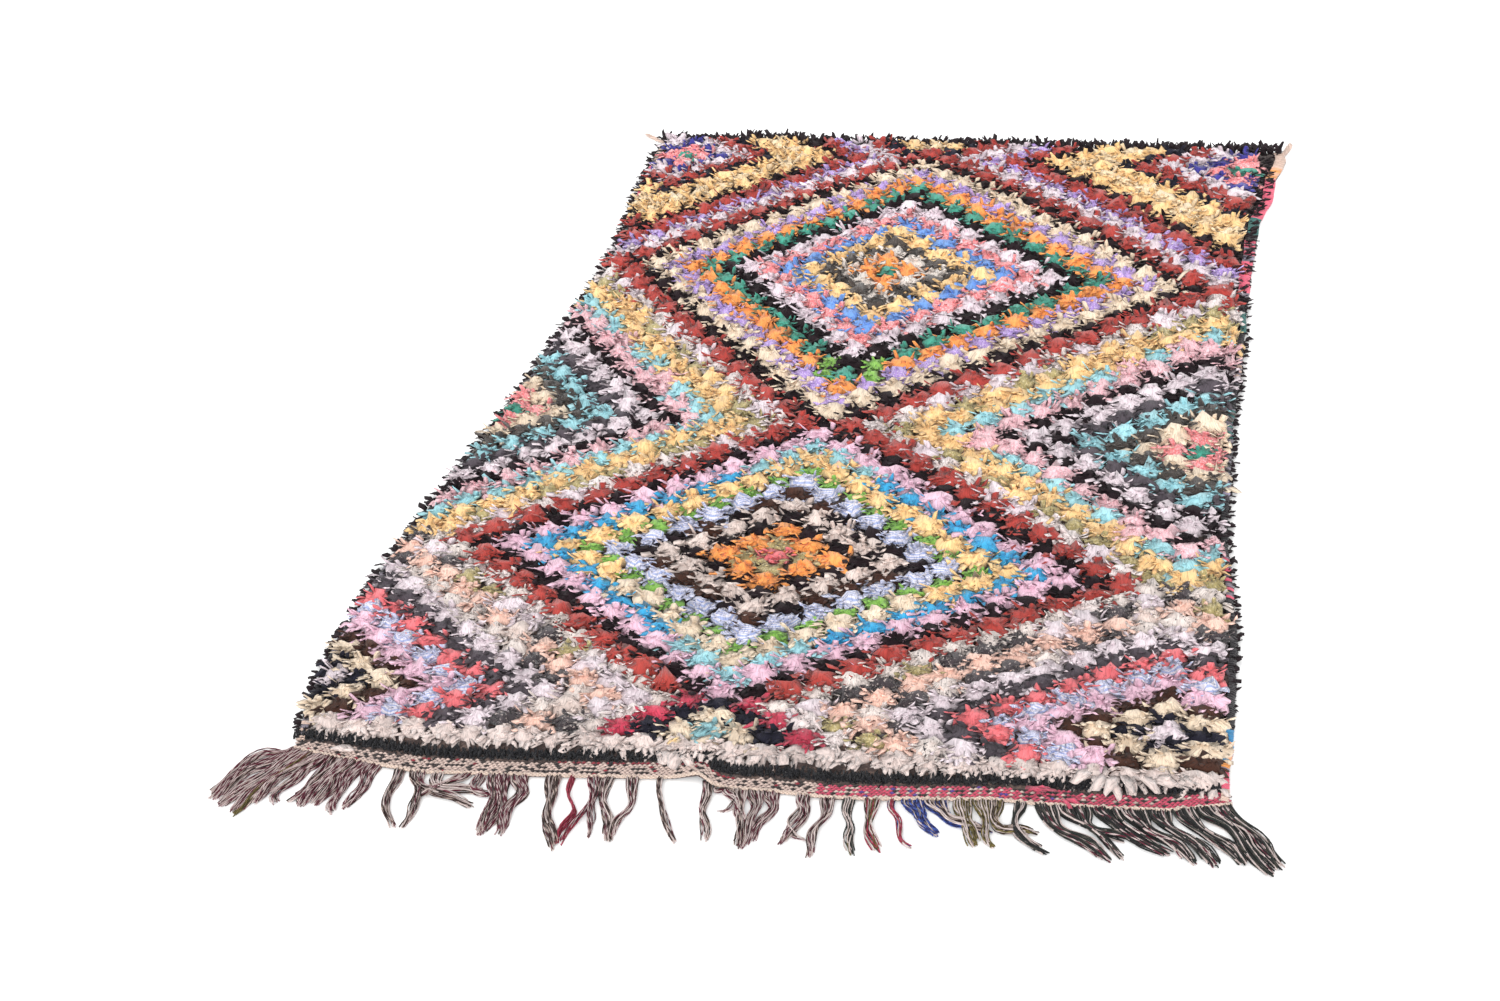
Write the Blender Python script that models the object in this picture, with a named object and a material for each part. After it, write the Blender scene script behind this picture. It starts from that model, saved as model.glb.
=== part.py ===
"""A boucherouite rug that lies flat on the floor, in metres.

+X is to the rug's right, +Y runs from its fringed front end to its back end, and +Z is up. The
origin is on the floor near the rug's middle. The pieces, from the floor up and from back to front:

ground_weave       the flat-woven ground, with its bare side edges and its bare strip at the front
rag_pile           the knotted rag pile, a lumpy slab with pointed locks at its rim
wool_band          the low band of black wool pile along the front
front_fringe       the twined cord along the front edge, with the fringe fused to it
corner_tail_left   the twisted warp end at the back left corner
corner_tail_right  the knotted warp end at the back right corner
"""

from collections import namedtuple
from math import cos, hypot, pi, sin

import bmesh
import bpy
import numpy as np

GAP = 0.0003  # between touching pieces
GROUND_THICK = 0.004
BACK_EDGE = 1.090  # the ground's back edge
UNEVEN = np.random.default_rng(7)

# The ground's left and right edges at places along the rug: it narrows toward the middle.
Side = namedtuple("Side", "y left right")
SIDES = (
    Side(-1.15, -0.640, 0.650),
    Side(-1.05, -0.655, 0.647),
    Side(-0.95, -0.668, 0.649),
    Side(-0.85, -0.672, 0.645),
    Side(-0.75, -0.669, 0.644),
    Side(-0.65, -0.670, 0.635),
    Side(-0.55, -0.659, 0.626),
    Side(-0.45, -0.653, 0.615),
    Side(-0.25, -0.634, 0.611),
    Side(-0.05, -0.617, 0.607),
    Side(0.15, -0.607, 0.612),
    Side(0.35, -0.598, 0.612),
    Side(0.55, -0.597, 0.615),
    Side(0.75, -0.611, 0.621),
    Side(0.85, -0.620, 0.633),
    Side(0.95, -0.625, 0.643),
    Side(1.05, -0.627, 0.662),
    Side(BACK_EDGE, -0.628, 0.655),
)

# The front edge, as the line of the twined cord, and how wide the bare woven strip behind it is.
Front = namedtuple("Front", "x y strip")
FRONT = (
    Front(-0.640, -1.138, 0.012),
    Front(-0.588, -1.149, 0.022),
    Front(-0.504, -1.164, 0.026),
    Front(-0.441, -1.174, 0.028),
    Front(-0.305, -1.165, 0.026),
    Front(-0.185, -1.156, 0.028),
    Front(-0.104, -1.149, 0.043),
    Front(-0.055, -1.151, 0.045),
    Front(-0.016, -1.153, 0.030),
    Front(0.057, -1.159, 0.027),
    Front(0.124, -1.169, 0.026),
    Front(0.214, -1.162, 0.025),
    Front(0.338, -1.148, 0.025),
    Front(0.415, -1.151, 0.027),
    Front(0.563, -1.147, 0.026),
    Front(0.650, -1.124, 0.022),
)

# The small ridge where the front strip is drawn together
PUCKER_X = -0.055
PUCKER_HALF_WIDTH = 0.024
PUCKER_HEIGHT = 0.008
PUCKER_REACH = 0.042
RIDGE_STEPS = 3

# The twined cord and its fringe
CORD_DEPTH = 0.005
CORD_HEIGHT = 0.0045
STRAND_ROOT = 0.0036  # a strand's width where it leaves the cord
STRAND_TIP = 0.0020
STRAND_HEIGHT = 0.0030
STRAND_TIP_HEIGHT = 0.0018
STRAND_STEPS = 3
STRAND_PITCH = 0.0046  # least distance between neighbouring tips
STRAND_SHORTER = 0.06  # the most that a strand falls short of its bundle's length, as a share

# The fringe's bundles from left to right: where each one's outer strands leave the cord, the place
# where its strands end, how wide they spread there, how far they bow to the right, and how many.
Bundle = namedtuple("Bundle", "root_left root_right tip_x tip_y spread bow strands")
BUNDLES = (
    Bundle(-0.634, -0.605, -0.686, -1.284, 0.052, 0.006, 5),
    Bundle(-0.600, -0.576, -0.636, -1.284, 0.036, 0.004, 4),
    Bundle(-0.570, -0.548, -0.586, -1.266, 0.044, 0.003, 4),
    Bundle(-0.541, -0.502, -0.532, -1.280, 0.026, 0.006, 6),
    Bundle(-0.481, -0.473, -0.449, -1.283, 0.006, -0.006, 2),
    Bundle(-0.456, -0.448, -0.430, -1.288, 0.006, 0.002, 2),
    Bundle(-0.424, -0.394, -0.402, -1.226, 0.026, 0.000, 4),
    Bundle(-0.382, -0.356, -0.352, -1.238, 0.022, 0.000, 3),
    Bundle(-0.342, -0.326, -0.314, -1.302, 0.012, 0.002, 3),
    Bundle(-0.309, -0.284, -0.287, -1.298, 0.016, 0.006, 4),
    Bundle(-0.272, -0.240, -0.224, -1.318, 0.020, -0.004, 5),
    Bundle(-0.226, -0.203, -0.198, -1.306, 0.012, -0.002, 3),
    Bundle(-0.184, -0.166, -0.156, -1.294, 0.013, -0.003, 4),
    Bundle(-0.155, -0.139, -0.138, -1.290, 0.010, 0.003, 3),
    Bundle(-0.109, -0.100, -0.056, -1.285, 0.006, -0.006, 2),
    Bundle(-0.052, -0.035, -0.023, -1.279, 0.012, -0.002, 3),
    Bundle(-0.022, 0.060, 0.026, -1.287, 0.032, 0.008, 8),
    Bundle(0.088, 0.106, 0.080, -1.272, 0.012, 0.002, 3),
    Bundle(0.114, 0.137, 0.117, -1.296, 0.016, 0.002, 4),
    Bundle(0.145, 0.165, 0.172, -1.282, 0.014, -0.002, 4),
    Bundle(0.173, 0.192, 0.206, -1.274, 0.014, -0.004, 4),
    Bundle(0.200, 0.213, 0.245, -1.263, 0.009, -0.003, 3),
    Bundle(0.222, 0.257, 0.275, -1.238, 0.020, -0.002, 5),
    Bundle(0.266, 0.316, 0.338, -1.248, 0.034, -0.004, 7),
    Bundle(0.328, 0.362, 0.404, -1.252, 0.026, -0.005, 5),
    Bundle(0.371, 0.409, 0.500, -1.262, 0.028, -0.006, 6),
    Bundle(0.417, 0.454, 0.541, -1.254, 0.026, -0.006, 5),
    Bundle(0.462, 0.515, 0.585, -1.242, 0.032, -0.005, 7),
    Bundle(0.523, 0.571, 0.626, -1.252, 0.030, -0.004, 6),
    Bundle(0.580, 0.608, 0.664, -1.256, 0.022, -0.004, 5),
    Bundle(0.616, 0.645, 0.706, -1.258, 0.030, -0.004, 6),
)

# The wool band
BAND_DEPTH = 0.033
BAND_HEIGHT = 0.010
BAND_LUMP = 0.0015

# The rag pile: one mesh point for each knot
KNOT_COLUMNS = 29
KNOT_ROWS = 55
SELVAGE_LEFT = 0.010  # the bare ground beside the pile
SELVAGE_RIGHT = 0.019
SELVAGE_BACK = 0.004
PILE_TOP = 0.026
PILE_LUMP = 0.004
RIM_TOP = 0.021
RIM_MIDDLE = 0.0165
RIM_INSET = 0.004
LOCK_REACH = 0.014
LOCK_REACH_SPREAD = 0.005
LOCK_RISE = 0.0012
TALL_LOCKS_LEFT = -0.44  # the stretch of the back edge where the locks stand taller
TALL_LOCKS_RIGHT = -0.33
TALL_LOCK_RISE = 0.012

# The warp ends at the back corners, as sections from the root to the tip
Section = namedtuple("Section", "x y z radius")
TAIL_SIDES = 6
TAIL_TWIST = 0.55  # turns from root to tip
TAIL_OVAL = 0.72  # a section's height as a share of its width
TAIL_LEFT = (
    Section(-0.6283, 1.0903, 0.0042, 0.0036),
    Section(-0.6420, 1.1010, 0.0048, 0.0042),
    Section(-0.6520, 1.1120, 0.0050, 0.0040),
    Section(-0.6630, 1.1220, 0.0056, 0.0044),
    Section(-0.6710, 1.1290, 0.0062, 0.0022),
)
TAIL_RIGHT = (
    Section(0.6505, 1.0918, 0.0052, 0.0048),
    Section(0.6560, 1.1080, 0.0070, 0.0062),
    Section(0.6590, 1.1190, 0.0082, 0.0056),
    Section(0.6620, 1.1300, 0.0080, 0.0034),
    Section(0.6650, 1.1420, 0.0070, 0.0018),
)

RUG = "boucherouite_rug"
COLOURS = {
    "ground_weave": (0.60, 0.23, 0.22),
    "rag_pile": (0.62, 0.52, 0.46),
    "wool_band": (0.012, 0.013, 0.017),
    "front_fringe": (0.38, 0.30, 0.28),
    "corner_tail_left": (0.42, 0.33, 0.31),
    "corner_tail_right": (0.40, 0.31, 0.28),
}


def side_edges(y):
    """The ground's left and right edge at y."""
    ys = [s.y for s in SIDES]
    return np.interp(y, ys, [s.left for s in SIDES]), np.interp(y, ys, [s.right for s in SIDES])


def cord_line(x):
    """The y of the twined cord's middle at x."""
    return float(np.interp(x, [f.x for f in FRONT], [f.y for f in FRONT]))


def strip_width(x):
    """How wide the bare woven strip behind the cord is at x."""
    return float(np.interp(x, [f.x for f in FRONT], [f.strip for f in FRONT]))


def ground_front(x):
    """The ground's front edge, just behind the cord."""
    return cord_line(x) + CORD_DEPTH / 2 + GAP


def pucker(x, y):
    """How far the small ridge lifts the ground at a place."""
    across = abs(x - PUCKER_X) / PUCKER_HALF_WIDTH
    along = (y - ground_front(x)) / PUCKER_REACH
    if across >= 1 or along >= 1:
        return 0.0
    return PUCKER_HEIGHT * cos(across * pi / 2) ** 2 * cos(max(along, 0.0) * pi / 2) ** 2


def material(name, colour):
    """A rough fabric material for one piece."""
    made = bpy.data.materials.new(name)
    made.use_nodes = True
    shader = made.node_tree.nodes["Principled BSDF"]
    shader.inputs["Base Color"].default_value = (*colour, 1.0)
    shader.inputs["Roughness"].default_value = 0.92
    shader.inputs["Metallic"].default_value = 0.0
    made.diffuse_color = (*colour, 1.0)
    return made


def add_piece(name, bm, parent, smooth=False):
    """Turns a closed bmesh into the piece's object, with its faces pointing out."""
    bmesh.ops.recalc_face_normals(bm, faces=bm.faces)
    mesh = bpy.data.meshes.new(name)
    bm.to_mesh(mesh)
    bm.free()
    mesh.materials.append(material(name, COLOURS[name]))
    if smooth:
        mesh.shade_smooth()
    piece = bpy.data.objects.new(name, mesh)
    bpy.context.collection.objects.link(piece)
    piece.parent = parent
    return piece


def fill_grid(bm, grid):
    """Fills a grid of points with four-sided faces."""
    for row, after in zip(grid, grid[1:]):
        for i in range(len(row) - 1):
            bm.faces.new((row[i], row[i + 1], after[i + 1], after[i]))


def close_grid(bm, top, bottom):
    """Joins two grids of points, bottom under top, into one closed body."""
    fill_grid(bm, top)
    fill_grid(bm, bottom)
    upper, lower = rim(top), rim(bottom)
    for i, point in enumerate(upper):
        j = (i + 1) % len(upper)
        bm.faces.new((point, upper[j], lower[j], lower[i]))


def rim(grid):
    """The outer points of a grid of rows, once round."""
    right = [row[-1] for row in grid[1:-1]]
    left = [row[0] for row in reversed(grid[1:-1])]
    return list(grid[0]) + right + list(reversed(grid[-1])) + left


def ground_columns():
    """The x of the ground's lines along its front edge: the edge's own points and the ridge's."""
    ridge = [PUCKER_X + PUCKER_HALF_WIDTH * share for share in (-1, -0.5, 0.5, 1)]
    return sorted([f.x for f in FRONT] + ridge)


def ground_rows():
    """How far behind its front edge each of the ground's cross lines lies, as a share of its length."""
    length = BACK_EDGE - FRONT[0].y
    over_ridge = [PUCKER_REACH / length * step / RIDGE_STEPS for step in range(RIDGE_STEPS + 1)]
    past_ridge = [(s.y - FRONT[0].y) / length for s in SIDES if s.y > FRONT[0].y + 2 * PUCKER_REACH]
    return over_ridge + past_ridge


def make_ground(parent):
    """The flat-woven ground: a thin sheet with the rug's uneven outline and the front ridge."""
    bm = bmesh.new()
    first, last = FRONT[0].x, FRONT[-1].x
    top, bottom = [], []
    for share in ground_rows():
        top_row, bottom_row = [], []
        for front_x in ground_columns():
            across = (front_x - first) / (last - first)
            y = ground_front(front_x) * (1 - share) + BACK_EDGE * share
            left, right = side_edges(y) if share > 0 else (first, last)
            x = left + (right - left) * across
            lift = pucker(x, y)
            top_row.append(bm.verts.new((x, y, GROUND_THICK + lift)))
            bottom_row.append(bm.verts.new((x, y, lift)))
        top.append(top_row)
        bottom.append(bottom_row)
    close_grid(bm, top, bottom)
    return add_piece("ground_weave", bm, parent)


def knot_column_x(y):
    """The x of each knot column at y, between the bare side edges."""
    left, right = side_edges(y)
    return np.linspace(left + SELVAGE_LEFT, right - SELVAGE_RIGHT, KNOT_COLUMNS)


def pile_front():
    """The pile's front edge at each knot column, behind the strip and the wool band."""
    columns = knot_column_x(SIDES[0].y)
    ys = [ground_front(x) + strip_width(x) + BAND_DEPTH + GAP for x in columns]
    return columns, np.array(ys)


def make_wool_band(parent):
    """The low band of wool pile between the bare strip and the rag pile."""
    bm = bmesh.new()
    columns, back = pile_front()
    stations = np.linspace(columns[0], columns[-1], 2 * KNOT_COLUMNS - 1)
    base = GROUND_THICK + GAP
    top, bottom = [], []
    for across in (0.0, 0.3, 0.7, 1.0):
        top_row, bottom_row = [], []
        for x in stations:
            far = float(np.interp(x, columns, back)) - GAP
            near = ground_front(x) + strip_width(x) + GAP
            y = near + (far - near) * across
            crown = BAND_HEIGHT if 0 < across < 1 else BAND_HEIGHT * 0.62
            height = crown + UNEVEN.uniform(-BAND_LUMP, BAND_LUMP)
            top_row.append(bm.verts.new((x, y, base + height)))
            bottom_row.append(bm.verts.new((x, y, base)))
        top.append(top_row)
        bottom.append(bottom_row)
    close_grid(bm, top, bottom)
    return add_piece("wool_band", bm, parent)


def pile_top_grid(bm):
    """The pile's upper surface: a point for each knot, with random lumps and a lower rim."""
    front_x, front_y = pile_front()
    back_y = BACK_EDGE - SELVAGE_BACK
    rows = []
    for j in range(KNOT_ROWS):
        share = j / (KNOT_ROWS - 1)
        ys = front_y * (1 - share) + back_y * share
        row = []
        for i, y in enumerate(ys):
            x = front_x[i] if j == 0 else knot_column_x(y)[i]
            at_rim = i in (0, KNOT_COLUMNS - 1) or j in (0, KNOT_ROWS - 1)
            height = RIM_TOP if at_rim else PILE_TOP
            lump = 0.4 * PILE_LUMP if at_rim else PILE_LUMP
            row.append(bm.verts.new((x, y, height + UNEVEN.uniform(-lump, lump))))
        rows.append(row)
    return rows


def outward(number):
    """The flat direction away from the pile on the side where the rim's point of this number lies."""
    if number < KNOT_COLUMNS - 1:
        return 0.0, -1.0
    if number < KNOT_COLUMNS + KNOT_ROWS - 2:
        return 1.0, 0.0
    if number < 2 * KNOT_COLUMNS + KNOT_ROWS - 3:
        return 0.0, 1.0
    return -1.0, 0.0


def add_rim_lock(bm, a, b, under_b, under_a, direction):
    """Draws one rim face out into a four-sided pointed lock."""
    middle = (a.co + b.co + under_a.co + under_b.co) / 4
    reach = LOCK_REACH + UNEVEN.uniform(-LOCK_REACH_SPREAD, LOCK_REACH_SPREAD)
    at_back = direction[1] > 0
    tall = at_back and TALL_LOCKS_LEFT < middle.x < TALL_LOCKS_RIGHT
    rise = LOCK_RISE + (TALL_LOCK_RISE if tall else 0.0)
    tip = bm.verts.new((middle.x + direction[0] * reach, middle.y + direction[1] * reach, middle.z + rise))
    for one, two in ((a, b), (b, under_b), (under_b, under_a), (under_a, a)):
        bm.faces.new((one, two, tip))


def make_pile(parent):
    """The rag pile: a lumpy slab on the ground, with a lock on each knot of its rim."""
    bm = bmesh.new()
    grid = pile_top_grid(bm)
    fill_grid(bm, grid)
    upper = rim(grid)
    middle = [bm.verts.new((v.co.x, v.co.y, RIM_MIDDLE)) for v in upper]
    lower = [bm.verts.new((v.co.x, v.co.y, GROUND_THICK + GAP)) for v in upper]
    for i, point in enumerate(upper):
        j = (i + 1) % len(upper)
        bm.faces.new((middle[i], middle[j], lower[j], lower[i]))
        add_rim_lock(bm, point, upper[j], middle[j], middle[i], outward(i))
    for i, point in enumerate(upper):
        dx, dy = outward(i)
        point.co.x -= dx * RIM_INSET
        point.co.y -= dy * RIM_INSET
    close_pile_bottom(bm, lower)
    return add_piece("rag_pile", bm, parent)


def close_pile_bottom(bm, lower):
    """Closes the slab's flat underside with one face for each row of knots."""
    front = lower[:KNOT_COLUMNS]
    right = lower[KNOT_COLUMNS : KNOT_COLUMNS + KNOT_ROWS - 2]
    back = lower[KNOT_COLUMNS + KNOT_ROWS - 2 : 2 * KNOT_COLUMNS + KNOT_ROWS - 2]
    left = list(reversed(lower[2 * KNOT_COLUMNS + KNOT_ROWS - 2 :]))
    bm.faces.new([left[0]] + front + [right[0]])
    for j in range(len(left) - 1):
        bm.faces.new((left[j], right[j], right[j + 1], left[j + 1]))
    bm.faces.new([left[-1], right[-1]] + back)


def strand_tips():
    """Each strand's root x, tip and bow, from left to right, with the tips kept apart."""
    strands = []
    tip_limit = -1.0
    for bundle in BUNDLES:
        for i in range(bundle.strands):
            share = (i + 0.5) / bundle.strands
            root = bundle.root_left + (bundle.root_right - bundle.root_left) * share
            tip_x = bundle.tip_x + bundle.spread * (share - 0.5)
            tip_x = max(tip_x, tip_limit)
            tip_limit = tip_x + STRAND_PITCH
            kept = 1 - UNEVEN.uniform(0.0, STRAND_SHORTER)
            root_y = cord_line(root)
            tip = root + (tip_x - root) * kept, root_y + (bundle.tip_y - root_y) * kept
            strands.append((root, tip, bundle.bow))
    return strands


def strand_ring(bm, root, tip, bow, share):
    """One four-sided section of a strand, which lies on the floor."""
    run, fall = tip[0] - root[0], tip[1] - root[1]
    slope = pi * bow * cos(pi * share)
    turn_x, turn_y = run + slope, fall
    size = hypot(turn_x, turn_y)
    across_x, across_y = -turn_y / size, turn_x / size
    x = root[0] + run * share + bow * sin(pi * share)
    y = root[1] + fall * share
    half = (STRAND_ROOT + (STRAND_TIP - STRAND_ROOT) * share) / 2
    height = STRAND_HEIGHT + (STRAND_TIP_HEIGHT - STRAND_HEIGHT) * share
    corners = ((-half, 0.0), (half, 0.0), (half, height), (-half, height))
    return [bm.verts.new((x + across_x * w, y + across_y * w, z)) for w, z in corners]


def add_strand(bm, base, root, tip, bow):
    """Grows one strand out of its quad in the cord's front face."""
    ring = base
    for step in range(1, STRAND_STEPS + 1):
        after = strand_ring(bm, root, tip, bow, step / STRAND_STEPS)
        for i in range(4):
            j = (i + 1) % 4
            bm.faces.new((ring[i], ring[j], after[j], after[i]))
        ring = after
    bm.faces.new(ring)


def cord_section(bm, x):
    """The cord's four corners at x: front low, front high, back high, back low."""
    y = cord_line(x)
    front, back = y - CORD_DEPTH / 2, y + CORD_DEPTH / 2
    places = ((front, 0.0), (front, CORD_HEIGHT), (back, CORD_HEIGHT), (back, 0.0))
    return [bm.verts.new((x, py, pz)) for py, pz in places]


def cord_stations(strands):
    """Where the cord has a section, and which strand, if any, grows from the stretch after it."""
    stations = {}
    for strand in strands:
        stations[strand[0] - STRAND_ROOT / 2] = strand
        stations[strand[0] + STRAND_ROOT / 2] = None
    for front in FRONT:
        if all(abs(front.x - strand[0]) > STRAND_ROOT / 2 for strand in strands):
            stations[front.x] = None
    return sorted(stations.items())


def make_fringe(parent):
    """The twined cord along the front edge, with every strand of the fringe fused to it."""
    bm = bmesh.new()
    stations = cord_stations(strand_tips())
    sections = [cord_section(bm, x) for x, _ in stations]
    for one, two, (_, strand) in zip(sections, sections[1:], stations):
        for k in (1, 2, 3):
            bm.faces.new((one[k], one[(k + 1) % 4], two[(k + 1) % 4], two[k]))
        if strand is None:
            bm.faces.new((one[0], one[1], two[1], two[0]))
            continue
        root_x, tip, bow = strand
        root = (root_x, cord_line(root_x) - CORD_DEPTH / 2)
        add_strand(bm, (one[0], two[0], two[1], one[1]), root, tip, bow)
    bm.faces.new(sections[0])
    bm.faces.new(sections[-1])
    return add_piece("front_fringe", bm, parent)


def make_tail(name, sections, parent):
    """One twisted warp end, lofted through its oval sections."""
    bm = bmesh.new()
    run = sections[-1].x - sections[0].x, sections[-1].y - sections[0].y
    length = hypot(*run)
    across = -run[1] / length, run[0] / length
    rings = []
    for number, section in enumerate(sections):
        turn = 2 * pi * TAIL_TWIST * number / (len(sections) - 1)
        ring = []
        for side in range(TAIL_SIDES):
            angle = 2 * pi * side / TAIL_SIDES + turn
            wide = section.radius * cos(angle)
            high = section.radius * TAIL_OVAL * sin(angle)
            place = (section.x + across[0] * wide, section.y + across[1] * wide, section.z + high)
            ring.append(bm.verts.new(place))
        rings.append(ring)
    for one, two in zip(rings, rings[1:]):
        for i in range(TAIL_SIDES):
            j = (i + 1) % TAIL_SIDES
            bm.faces.new((one[i], one[j], two[j], two[i]))
    bm.faces.new(rings[0])
    bm.faces.new(rings[-1])
    return add_piece(name, bm, parent, smooth=True)


def main():
    """Clears the scene and makes every piece under one empty."""
    for old in list(bpy.data.objects):
        bpy.data.objects.remove(old)
    parent = bpy.data.objects.new(RUG, None)
    bpy.context.collection.objects.link(parent)
    make_ground(parent)
    make_pile(parent)
    make_wool_band(parent)
    make_fringe(parent)
    make_tail("corner_tail_left", TAIL_LEFT, parent)
    make_tail("corner_tail_right", TAIL_RIGHT, parent)


main()
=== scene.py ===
"""Looks of a hand-knotted rag rug: its pile, wool band, flat-woven end, selvages and fringe."""

import logging
import math
from collections.abc import Callable
from dataclasses import dataclass
from enum import Enum

import bpy
import numpy as np
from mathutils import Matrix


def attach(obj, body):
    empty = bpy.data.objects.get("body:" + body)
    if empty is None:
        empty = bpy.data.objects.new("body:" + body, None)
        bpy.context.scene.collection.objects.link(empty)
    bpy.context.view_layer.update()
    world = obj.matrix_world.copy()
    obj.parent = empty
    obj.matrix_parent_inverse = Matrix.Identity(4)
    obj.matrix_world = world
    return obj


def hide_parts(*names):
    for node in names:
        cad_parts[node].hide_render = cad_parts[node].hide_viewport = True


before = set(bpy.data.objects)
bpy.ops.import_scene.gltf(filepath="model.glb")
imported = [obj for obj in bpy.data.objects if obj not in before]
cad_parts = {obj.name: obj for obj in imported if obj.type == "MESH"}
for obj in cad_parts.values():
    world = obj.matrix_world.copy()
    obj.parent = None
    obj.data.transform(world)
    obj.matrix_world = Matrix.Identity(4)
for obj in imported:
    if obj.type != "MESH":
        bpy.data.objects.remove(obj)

LOG = logging.getLogger("boucherouite_rug")
MM = 0.001
ATLAS = "OFBake"
THREAD = "Thread"
# How wide a cut end is for each round of the thread map
CAP_FOLDS = 0.034

# Both long edges of the ground cloth: y, left x and right x
SIDES = np.array((
    (-1.150, -0.640, 0.650), (-1.050, -0.655, 0.647), (-0.950, -0.668, 0.649),
    (-0.850, -0.672, 0.645), (-0.750, -0.669, 0.644), (-0.650, -0.670, 0.635),
    (-0.550, -0.659, 0.626), (-0.450, -0.653, 0.615), (-0.250, -0.634, 0.611),
    (-0.050, -0.617, 0.607), (0.150, -0.607, 0.612), (0.350, -0.598, 0.612),
    (0.550, -0.597, 0.615), (0.750, -0.611, 0.621), (0.850, -0.620, 0.633),
    (0.950, -0.625, 0.643), (1.050, -0.627, 0.662), (1.090, -0.628, 0.655),
))
# The end cord: x, y of its middle, and how much flat weave shows behind it
FRONT = np.array((
    (-0.640, -1.138, 0.012), (-0.588, -1.149, 0.022), (-0.504, -1.164, 0.026),
    (-0.441, -1.174, 0.028), (-0.305, -1.165, 0.026), (-0.185, -1.156, 0.028),
    (-0.104, -1.148, 0.028), (-0.057, -1.145, 0.033), (-0.036, -1.159, 0.022),
    (-0.010, -1.163, 0.021), (0.057, -1.163, 0.024), (0.124, -1.169, 0.026), (0.214, -1.162, 0.025),
    (0.338, -1.148, 0.025), (0.415, -1.151, 0.027), (0.563, -1.147, 0.026),
    (0.650, -1.124, 0.022),
))
BACK_EDGE = 1.090
GROUND_THICK = 0.004
PUCKER_X = -0.055
PUCKER_WIDTH = 0.024
PUCKER_HEIGHT = 0.008
PUCKER_REACH = 0.042


def left_edge(y: float | np.ndarray) -> float | np.ndarray:
    """Returns the x of the ground cloth's left edge at y."""
    return np.interp(y, SIDES[:, 0], SIDES[:, 1])


def right_edge(y: float | np.ndarray) -> float | np.ndarray:
    """Returns the x of the ground cloth's right edge at y."""
    return np.interp(y, SIDES[:, 0], SIDES[:, 2])


def cord_line(x: float | np.ndarray) -> float | np.ndarray:
    """Returns the y of the end cord's middle at x."""
    return np.interp(x, FRONT[:, 0], FRONT[:, 1])


def strip_width(x: float | np.ndarray) -> float | np.ndarray:
    """Returns how much flat weave shows behind the end cord at x."""
    return np.interp(x, FRONT[:, 0], FRONT[:, 2])


def pucker(x: float | np.ndarray, y: float | np.ndarray) -> float | np.ndarray:
    """Returns how far the cloth stands up at the fold in its front edge.

    Args:
        x: Places across the rug, in metres.
        y: Places along the rug, in metres.

    Returns:
        The height above the flat cloth, in metres.
    """
    across = np.exp(-((np.asarray(x) - PUCKER_X) / PUCKER_WIDTH) ** 2)
    inward = np.clip((np.asarray(y) - cord_line(x)) / PUCKER_REACH, 0.0, 1.0)
    return PUCKER_HEIGHT * across * (1.0 - inward * inward * (3.0 - 2.0 * inward))


# Finishes


class Dye(Enum):
    """How the colours of a cloth or yarn lie on it."""

    PLAIN = "plain"
    MELANGE = "melange"
    PRINT = "print"
    STRIPE = "stripe"
    MARL = "marl"


def linear(code: str, gain: float = 1.0) -> tuple[float, float, float, float]:
    """Turns an sRGB hex colour to linear light.

    Args:
        code: The colour as "#RRGGBB".
        gain: A factor on the linear colour.

    Returns:
        Red, green, blue and alpha.
    """
    parts = [int(code[i : i + 2], 16) / 255.0 for i in (1, 3, 5)]
    light = [p / 12.92 if p <= 0.04045 else ((p + 0.055) / 1.055) ** 2.4 for p in parts]
    return (*[min(1.0, p * gain) for p in light], 1.0)


def add_node(
    tree: bpy.types.NodeTree, kind: str, settings: dict | None = None, links: dict | None = None
) -> bpy.types.Node:
    """Adds a node with its settings and links.

    Args:
        tree: The node tree.
        kind: Blender's name of the node type.
        settings: Values by attribute or input name; an input of that name goes first.
        links: Output sockets by input name or number.

    Returns:
        The node.
    """
    node = tree.nodes.new(kind)
    for name, value in (settings or {}).items():
        if isinstance(name, int) or name in node.inputs:
            node.inputs[name].default_value = value
        else:
            setattr(node, name, value)
    for name, socket in (links or {}).items():
        tree.links.new(socket, node.inputs[name])
    return node


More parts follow.
